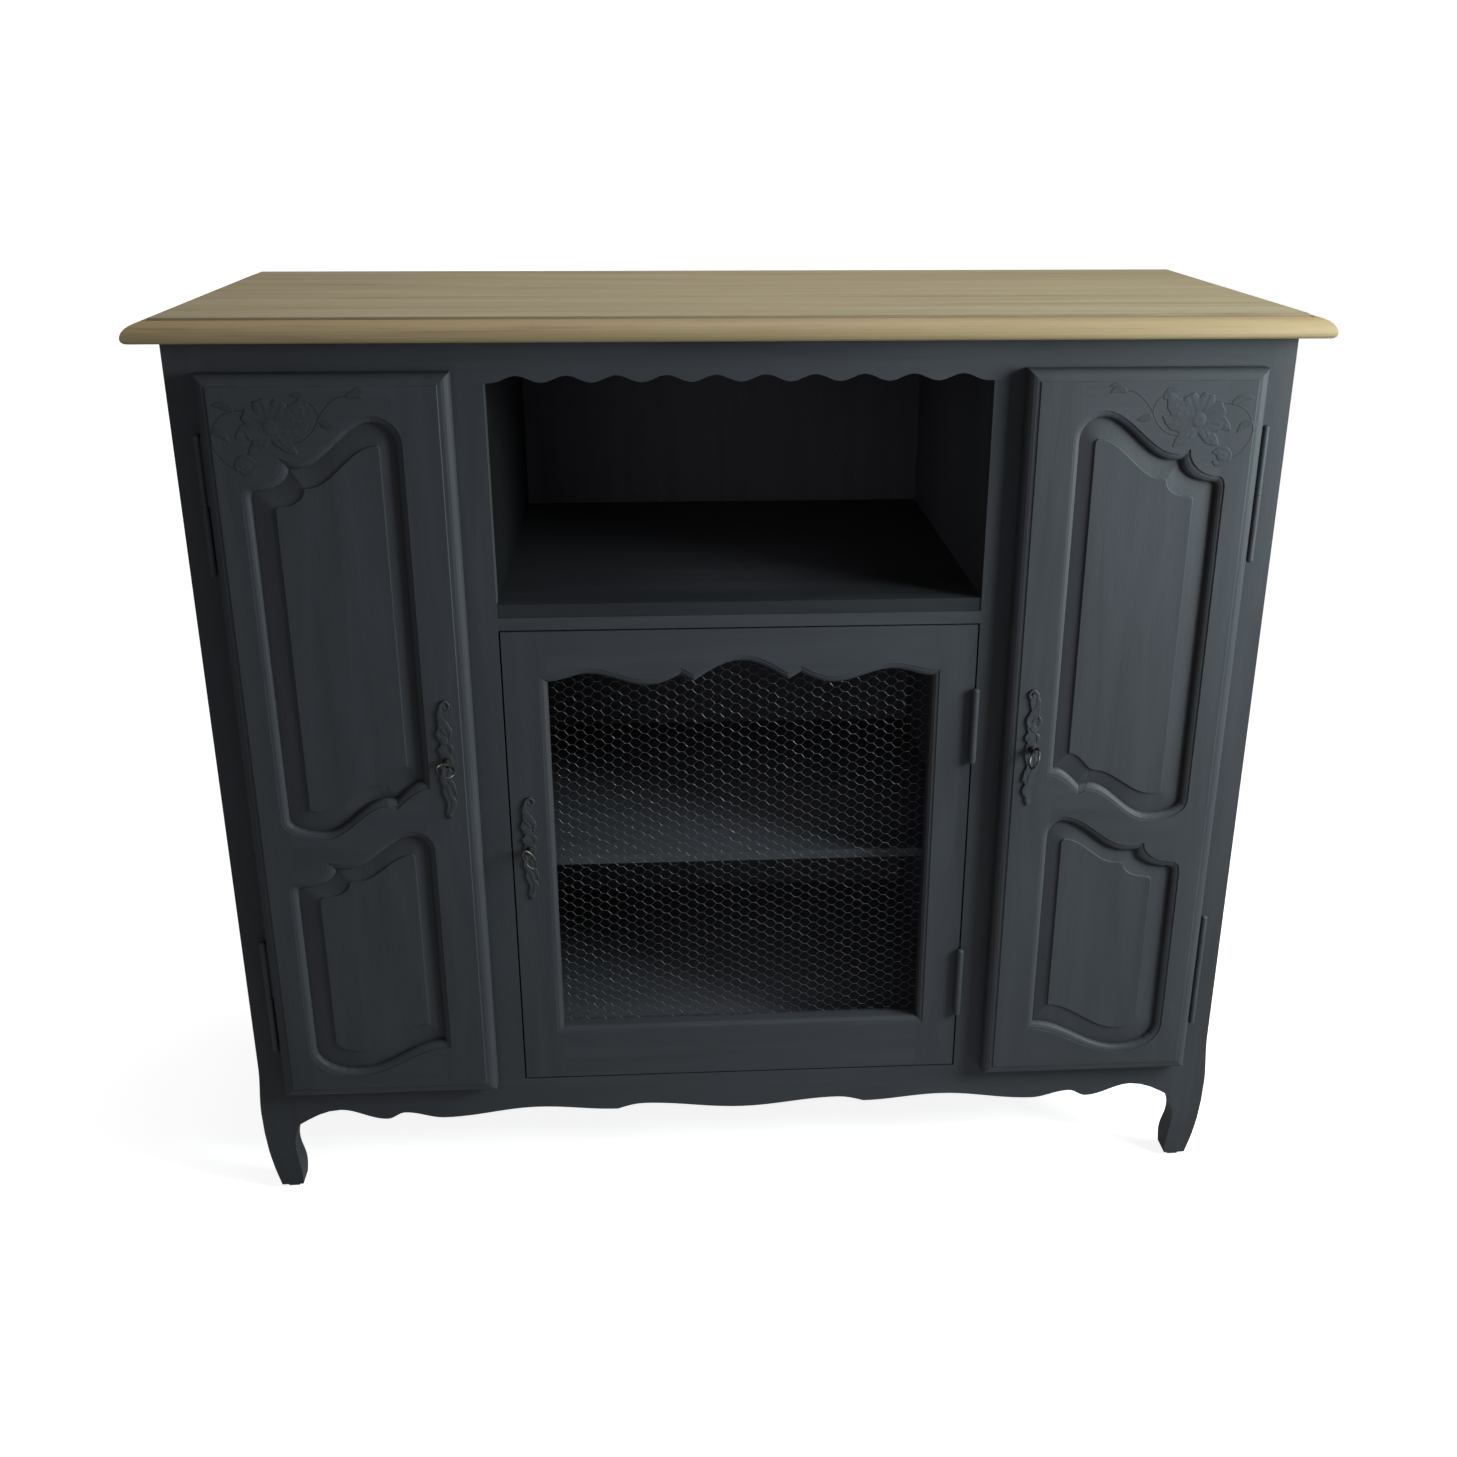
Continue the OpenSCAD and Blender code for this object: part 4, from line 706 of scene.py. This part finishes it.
def dome(x, z, centre, wide, tall, high, dimple=0.0):
    """A round boss, with a dimple in the middle if asked."""
    d = np.hypot((x - centre[0]) / (wide / 2), (z - centre[1]) / (tall / 2))
    height = high * (np.clip(1 - d ** 2, 0, 1) ** 0.5 - dimple * np.exp(-(d / 0.35) ** 2))
    return np.where(d < 1, height, -1.0)


def relief_piece(name, low, high, cell, heights, face_y, sunk, finish):
    """A closed low carving in mm: heights(x, z) stands out from the face towards the front."""
    xs = np.arange(low[0], high[0] + cell / 2, cell)
    zs = np.arange(low[1], high[1] + cell / 2, cell)
    grid_x, grid_z = np.meshgrid(xs, zs, indexing="ij")
    field = heights(grid_x, grid_z)
    corners = np.stack([field[:-1, :-1], field[1:, :-1], field[1:, 1:], field[:-1, 1:]])
    keep = corners.max(axis=0) > 0
    top = np.clip(field, -sunk / 2, None)
    verts = []
    faces = []
    front_id = {}
    back_id = {}

    def corner(table, i, j, depth):
        if (i, j) not in table:
            table[(i, j)] = len(verts)
            verts.append((xs[i] * MM, face_y - depth * MM, zs[j] * MM))
        return table[(i, j)]

    for i, j in zip(*np.nonzero(keep)):
        ring = [(i, j), (i + 1, j), (i + 1, j + 1), (i, j + 1)]
        fronts = [corner(front_id, a, b, top[a, b]) for a, b in ring]
        backs = [corner(back_id, a, b, -sunk) for a, b in ring]
        faces.append(fronts)
        faces.append(backs[::-1])
        sides = [(0, -1, 0, 1), (1, 0, 1, 2), (0, 1, 2, 3), (-1, 0, 3, 0)]
        for di, dj, a, b in sides:
            ni, nj = i + di, j + dj
            open_side = not (0 <= ni < keep.shape[0] and 0 <= nj < keep.shape[1] and keep[ni, nj])
            if open_side:
                faces.append([fronts[b], fronts[a], backs[a], backs[b]])
    mesh = bpy.data.meshes.new(name)
    mesh.from_pydata(verts, [], faces)
    mesh.update()
    # how much of its full height each point stands, which sets the painted shade at a carving's foot
    raised = mesh.attributes.new("raised", "FLOAT", "POINT")
    standing = [(face_y - y) / MM / SHADE_FADE_HEIGHT for _, y, _ in verts]
    raised.data.foreach_set("value", [min(max(share, 0.0), 1.0) for share in standing])
    mesh.materials.append(finish)
    for polygon in mesh.polygons:
        polygon.use_smooth = True
    piece = bpy.data.objects.new(name, mesh)
    scene.collection.objects.link(piece)
    return piece


def mirror(piece):
    """Swap a carving's left and right, with its faces still outwards."""
    piece.data.transform(Matrix.Scale(-1, 4, (1, 0, 0)))
    piece.data.flip_normals()


# %% [markdown]
# On the top rail of each side door is a carved spray: a flower with a round heart, leaves beside it, a long
# stem that climbs to a leaf over the arch, and a scroll that curls round to a bud. The left door has it in
# mirror image. The sizes are in millimetres on the right door.

# %% Carved sprays
FLOWER = (512.5, 1029.0)
# each petal's angle in degrees, length and width
PETALS = [(116, 31, 20), (72, 31, 20), (28, 31, 19), (158, 27, 18), (-18, 27, 18), (-60, 22, 15),
          (-118, 22, 15)]
# the field of the carving and the cell of its grid, and how deep it is let into the rail
SPRAY_LOW = (400, 976)
SPRAY_HIGH = (584, 1072)
SPRAY_CELL = 0.6
SPRAY_SUNK = 0.6


def spray_heights(x, z):
    shapes = [
        stem(x, z, [(427, 1062), (436, 1061), (446, 1055), (455, 1045), (461, 1035), (468, 1023), (480, 1014),
                    (494, 1012), (505, 1019)], 2.2, 0.45, 0.9),
        stem(x, z, [(462, 1032), (460, 1041), (464, 1051), (471, 1057)], 2.0, 0.4, 0.8),
        stem(x, z, [(526, 1040), (540, 1047), (556, 1045), (569, 1036), (576, 1021), (574, 1006), (566, 993),
                    (556, 985), (547, 983)], 2.2, 0.45, 0.7),
        leaf(x, z, [(428, 1061), (419, 1064), (408, 1059)], 10.0, 1.2, 3, 0.15),
        leaf(x, z, [(424, 1062), (416, 1068), (407, 1067)], 7.5, 1.0, 3),
        leaf(x, z, [(459, 1034), (451, 1031), (442, 1030)], 10.0, 1.1, 3, 0.10),
        leaf(x, z, [(471, 1052), (478, 1062), (488, 1064)], 10.0, 1.2, 3, 0.10),
        leaf(x, z, [(506, 1032), (494, 1038), (484, 1046), (476, 1060)], 26.0, 1.6, 5, 0.16),
        leaf(x, z, [(506, 1026), (494, 1024), (483, 1026), (471, 1033)], 20.0, 1.5, 4, 0.12),
        leaf(x, z, [(507, 1020), (499, 1011), (486, 999)], 16.0, 1.7, 3, 0.05),
        leaf(x, z, [(517, 1018), (527, 1009), (539, 999)], 16.5, 1.6, 3, 0.10),
        leaf(x, z, [(521, 1027), (537, 1026), (551, 1017)], 19.0, 1.5, 4, 0.12),
        leaf(x, z, [(549, 1046), (561, 1053), (573, 1053)], 10.0, 1.2, 3, 0.08),
        leaf(x, z, [(575, 1026), (566, 1023), (558, 1014)], 10.5, 1.2, 3, 0.08),
        leaf(x, z, [(553, 982), (545, 992), (532, 992)], 15.0, 1.5, 3, 0.06),
        leaf(x, z, [(549, 982), (541, 979), (533, 982)], 9.5, 1.3, 3),
        dome(x, z, (544, 988), 14.0, 11.5, 1.8, 0.3),
    ]
    for angle, length, wide in PETALS:
        shapes.append(petal(x, z, FLOWER, math.radians(angle), length, wide, 1.9))
    shapes.append(dome(x, z, FLOWER, 18.5, 18.5, 2.4, 0.22))
    return PAINT_FILLED * np.max(np.stack(shapes), axis=0)


door_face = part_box("right_door_top_rail")[0].y
for hand in ("left", "right"):
    spray = relief_piece(hand + "_carved_spray", SPRAY_LOW, SPRAY_HIGH, SPRAY_CELL, spray_heights, door_face,
                         SPRAY_SUNK, carved_paint)
    if hand == "left":
        mirror(spray)
    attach(spray, hand + "_door")
    print(spray.name, len(spray.data.polygons), "faces")

# %% [markdown]
# The lock plates are cast in a rococo pattern: a curl at the top, a long leaf that swings in an S, a boss, a
# collar round the keyhole, and two leaves below that end in a drop. They were painted over with the doors.
# The CAD model has their plain backing, and the relief is laid over it with the same height field as the
# carving. The left and centre plates are the mirror image of the right one.


# %% Relief on the lock plates
# the design is centred on the keyhole, and it is shortened where the plate is shorter
DESIGN_LENGTH = 150.0
PLATE_FIELD_LOW = (-12, -76)
PLATE_FIELD_HIGH = (12, 80)
PLATE_CELL = 0.45


def keyhole(hand):
    """The lowest and highest corner of a lock's plate, and where its keyhole is, across and up."""
    low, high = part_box(hand + "_escutcheon")
    return low, high, (low.x + high.x) / 2, (low.z + high.z) / 2


def plate_heights(x, z):
    shapes = [
        stem(x, z, [(3, 62), (3, 70), (-2, 75), (-7, 71), (-5, 65), (-1, 67)], 3.2, 1.0, 0.9),
        leaf(x, z, [(5, 66), (4, 55), (-2, 45), (-7, 36), (-4, 26)], 8.0, 1.2, 5, 0.12),
        leaf(x, z, [(6, 52), (3, 42), (-2, 33)], 6.0, 1.0, 4, 0.10),
        leaf(x, z, [(4, 26), (8, 34), (6, 44)], 5.0, 0.9, 3, 0.10),
        leaf(x, z, [(-3, 22), (-7, 15), (-5, 8)], 5.0, 0.8, 3),
        leaf(x, z, [(4, 20), (7, 14), (5, 8)], 4.5, 0.8, 3),
        dome(x, z, (1, 26), 9.5, 9.5, 1.6, 0.2),
        dome(x, z, (0, -1), 14.0, 18.0, 0.9),
        leaf(x, z, [(-3, -10), (-1, -22), (-6, -34), (-9, -44)], 6.5, 1.1, 4, 0.12),
        leaf(x, z, [(5, -10), (6, -24), (0, -36), (-2, -50)], 7.0, 1.1, 5, 0.12),
        leaf(x, z, [(-3, -46), (-5, -56), (0, -67)], 7.0, 1.1, 4, 0.10),
        dome(x, z, (0, -70), 6.0, 7.0, 1.3, 0.2),
    ]
    height = np.max(np.stack(shapes), axis=0)
    open_hole = (np.hypot(x, z) < 3.5) | ((np.abs(x) < 1.6) & (z < 0) & (z > -9))
    return np.where(open_hole, -1.0, PAINT_FILLED * height)


for hand in ("left", "right", "centre"):
    plate_low, plate_high, key_x, key_z = keyhole(hand)
    stretch = (plate_high.z - plate_low.z) / MM / DESIGN_LENGTH
    plate_thick = (plate_high.y - plate_low.y) / MM
    relief = relief_piece(hand + "_plate_relief", PLATE_FIELD_LOW, PLATE_FIELD_HIGH, PLATE_CELL,
                          plate_heights, 0.0, plate_thick, cast_iron)
    if hand != "right":
        mirror(relief)
    at_keyhole = Matrix.Translation((key_x, plate_low.y, key_z))
    relief.data.transform(at_keyhole @ Matrix.Scale(stretch, 4, (0, 0, 1)))
    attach(relief, hand + "_door")
    print(relief.name, len(relief.data.polygons), "faces")

# %% [markdown]
# The three keys are old forged ones: an oval bow, a turned collar and a round shank. In the CAD model the bow
# is cut from flat plate. Here it is a rod bent to an oval, thinner at the far end where fingers have worn it,
# because a round rim catches the light in the way the real one does. Each key is built round its own axis and
# then turned to the angle at which it stands in the photograph. Old keys are loose in their locks, so the
# bows droop.


# %% Keys
def sweep(verts, faces, points, radii, closed, sides=10):
    """Add a round rod of changing thickness along points to verts and faces."""
    count = len(points)
    first = len(verts)
    normal = None
    for i, point in enumerate(points):
        before = points[i - 1] if i or closed else points[0]
        after = points[(i + 1) % count] if i < count - 1 or closed else points[-1]
        ahead = (after - before).normalized()
        if normal is None:
            normal = ahead.orthogonal().normalized()
        normal = (normal - normal.dot(ahead) * ahead).normalized()
        other = ahead.cross(normal)
        for k in range(sides):
            a = 2 * math.pi * k / sides
            verts.append(point + radii[i] * (math.cos(a) * normal + math.sin(a) * other))
    for i in range(count if closed else count - 1):
        for k in range(sides):
            a, b = first + i * sides, first + (i + 1) % count * sides
            faces.append((a + k, a + (k + 1) % sides, b + (k + 1) % sides, b + k))
    if not closed:
        faces.append([first + k for k in range(sides)][::-1])
        faces.append([first + (count - 1) * sides + k for k in range(sides)])


# how far a turned stem stands out from the plate, and its radius there, in mm
STEM = [(0.2, 3.0), (0.3, 4.4), (0.9, 4.7), (1.6, 4.5), (2.2, 3.6), (3.2, 3.3), (4.0, 3.6), (4.6, 4.3),
        (5.2, 4.2), (5.9, 3.3), (7.2, 2.7)]
SHANK_RADIUS = 3 * MM
BOW_WIDE = 24 * MM
BOW_LONG = 22 * MM
BOW_ROD = 1.25 * MM
BOW_WEAR = 0.12
BOW_STEPS = 40
DROOP = math.radians(24)
# the droop begins this far out from the plate
DROOP_FROM = 5 * MM
# degrees from upright to the right, as they stand in the photograph
BOW_TURN = {"left": 100, "right": 28, "centre": -45}
rod_z = BOW_WIDE / 2 - BOW_ROD
rod_y = BOW_LONG / 2 - BOW_ROD
angles = [2 * math.pi * k / BOW_STEPS for k in range(BOW_STEPS)]
bow_radii = [BOW_ROD * (1 - BOW_WEAR * math.cos(a)) for a in angles]
stem_radii = [SHANK_RADIUS] * 2 + [radius * MM for _, radius in STEM]
for hand in ("left", "right", "centre"):
    key_low, key_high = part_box(hand + "_key")
    plate_low, _, axis_x, axis_z = keyhole(hand)
    verts = []
    faces = []
    bow_y = key_low.y + BOW_LONG / 2
    bow = [Vector((0, bow_y - rod_y * math.cos(a), rod_z * math.sin(a))) for a in angles]
    sweep(verts, faces, bow, bow_radii, closed=True)
    bow_faces = len(faces)
    shank = [Vector((0, key_high.y, 0)), Vector((0, plate_low.y, 0))]
    turned = [Vector((0, plate_low.y - out * MM, 0)) for out, _ in STEM]
    sweep(verts, faces, shank + turned, stem_radii, closed=False, sides=20)
    mesh = bpy.data.meshes.new(hand + "_bent_key")
    mesh.from_pydata(verts, [], faces)
    mesh.transform(Matrix.Rotation(math.radians(BOW_TURN[hand]), 4, "Y"))
    for vert in mesh.vertices:
        out = max(plate_low.y - DROOP_FROM - vert.co.y, 0)
        vert.co.z -= out * math.tan(DROOP)
    mesh.transform(Matrix.Translation((axis_x, 0, axis_z)))
    # the bow is old steel, and the stem near-black as painted shade at the keyhole
    mesh.materials.append(steel)
    mesh.materials.append(stem_shade_steel)
    for polygon in mesh.polygons:
        polygon.use_smooth = len(polygon.vertices) == 4
        polygon.material_index = 0 if polygon.index < bow_faces else 1
    bent_key = bpy.data.objects.new(hand + "_bent_key", mesh)
    scene.collection.objects.link(bent_key)
    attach(bent_key, hand + "_key")
    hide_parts(hand + "_key")
    print(bent_key.name, "turned", BOW_TURN[hand], "degrees")

# %% [markdown]
# The light is soft daylight from the right, like that of a window close by: it grazes the front, so the
# right door is much brighter than the left one. A wide lamp overhead lights the oak. A weak one in front, to
# the left of the camera, and the dim world fill in the rest. Very weak lamps inside the open compartments
# stand for light that bounces about in there. The floor and the wall are one curved sheet. The camera sees
# it nearly white, with the soft shadow of the cabinet on it, and other light meets it mostly as a grey floor.


# %% Light
def area_lamp(name, place, target, size, power, colour, spread=180):
    """A round lamp that shines from its place towards a target, within spread degrees."""
    data = bpy.data.lights.new(name, "AREA")
    data.shape = "DISK"
    data.size = size
    data.energy = power
    data.color = colour
    data.spread = math.radians(spread)
    lamp = bpy.data.objects.new(name, data)
    lamp.location = place
    lamp.visible_camera = False
    lamp.rotation_euler = (Vector(target) - Vector(place)).to_track_quat("-Z", "Y").to_euler()
    scene.collection.objects.link(lamp)


area_lamp("window", place=(1.60, -0.86, 1.25), target=(0.40, -0.25, 0.80), size=0.9, power=21.5,
          colour=(0.90, 1.03, 1.01), spread=110)
area_lamp("ceiling", place=(0.3, 0.05, 3.0), target=(0.1, 0.0, 1.1), size=2.0, power=31,
          colour=(1.0, 0.97, 0.92))
area_lamp("fill", place=(-1.0, -2.8, 1.35), target=(0, 0, 0.8), size=1.4, power=5.5,
          colour=(0.98, 0.96, 1.0))
# the niche, and what is behind the netting above and below the shelf
COMPARTMENTS = (("niche_floor", "top_board"), ("centre_shelf", "niche_floor"),
                ("bottom_board", "centre_shelf"))
for floor_name, roof_name in COMPARTMENTS:
    height = (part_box(floor_name)[1].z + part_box(roof_name)[0].z) / 2
    area_lamp("bounce", place=(0, -0.15, height), target=(0, 0.15, height - 0.1), size=0.2, power=0.09,
              colour=(1.0, 0.97, 1.0))
    print("bounced light at", round(height, 3))
WORLD_LIGHT = 0.10
WORLD_SEEN = 0.92
world = bpy.data.worlds.new("studio")
world.use_nodes = True
world_tree = world.node_tree
dim = world_tree.nodes["Background"]
dim.inputs["Color"].default_value = (0.9, 0.93, 1.0, 1)
dim.inputs["Strength"].default_value = WORLD_LIGHT
pale = add(world_tree, "ShaderNodeBackground")
pale.inputs["Color"].default_value = (1, 1, 1, 1)
pale.inputs["Strength"].default_value = WORLD_SEEN
pick_sky = add(world_tree, "ShaderNodeMixShader")
join(world_tree, add(world_tree, "ShaderNodeLightPath").outputs["Is Camera Ray"], pick_sky.inputs[0])
join(world_tree, dim.outputs[0], pick_sky.inputs[1])
join(world_tree, pale.outputs[0], pick_sky.inputs[2])
join(world_tree, pick_sky.outputs[0], world_tree.nodes["World Output"].inputs["Surface"])
scene.world = world

# %% Floor and wall
# how brightly the sheet glows to the camera, and what share of that glow mirrors show
GLOW = 0.86
MIRRORED_SHARE = 0.15
# in metres, with the cabinet round the origin
FLOOR_FRONT = -4.0
FLOOR_BACK = 1.6
BEND_RADIUS = 0.8
BEND_STEPS = 12
WALL_TOP = 5.0
HALF_WIDTH = 6.0

backdrop_material, tree = new_material("backdrop")
diffuse = add(tree, "ShaderNodeBsdfDiffuse")
diffuse.inputs["Color"].default_value = (0.80, 0.80, 0.80, 1)
floor_grey = add(tree, "ShaderNodeBsdfDiffuse")
floor_grey.inputs["Color"].default_value = (0.45, 0.45, 0.45, 1)
glow = add(tree, "ShaderNodeEmission")
glow.inputs["Color"].default_value = (1, 1, 1, 1)
glow.inputs["Strength"].default_value = GLOW
both = add(tree, "ShaderNodeAddShader")
join(tree, diffuse.outputs[0], both.inputs[0])
join(tree, glow.outputs[0], both.inputs[1])
rays = add(tree, "ShaderNodeLightPath")
choose = add(tree, "ShaderNodeMixShader")
polished = math_node(tree, "MAXIMUM", rays.outputs["Is Glossy Ray"], rays.outputs["Is Transmission Ray"])
mirrored = math_node(tree, "MULTIPLY", polished, MIRRORED_SHARE)
seen = math_node(tree, "MAXIMUM", rays.outputs["Is Camera Ray"], mirrored)
join(tree, seen, choose.inputs[0])
join(tree, floor_grey.outputs[0], choose.inputs[1])
join(tree, both.outputs[0], choose.inputs[2])
surface = add(tree, "ShaderNodeOutputMaterial")
join(tree, choose.outputs[0], surface.inputs["Surface"])

profile = [(FLOOR_FRONT, 0.0), (FLOOR_BACK, 0.0)]
for i in range(1, BEND_STEPS + 1):
    a = math.pi / 2 * i / BEND_STEPS
    profile.append((FLOOR_BACK + BEND_RADIUS * math.sin(a), BEND_RADIUS * (1 - math.cos(a))))
profile.append((FLOOR_BACK + BEND_RADIUS, WALL_TOP))
sheet_verts = [(x, y, z) for x in (-HALF_WIDTH, HALF_WIDTH) for y, z in profile]
steps = len(profile)
sheet_faces = [(i, steps + i, steps + i + 1, i + 1) for i in range(steps - 1)]
sheet = bpy.data.meshes.new("backdrop")
sheet.from_pydata(sheet_verts, [], sheet_faces)
sheet.update()
sheet.materials.append(backdrop_material)
for polygon in sheet.polygons:
    polygon.use_smooth = True
backdrop = bpy.data.objects.new("backdrop", sheet)
scene.collection.objects.link(backdrop)
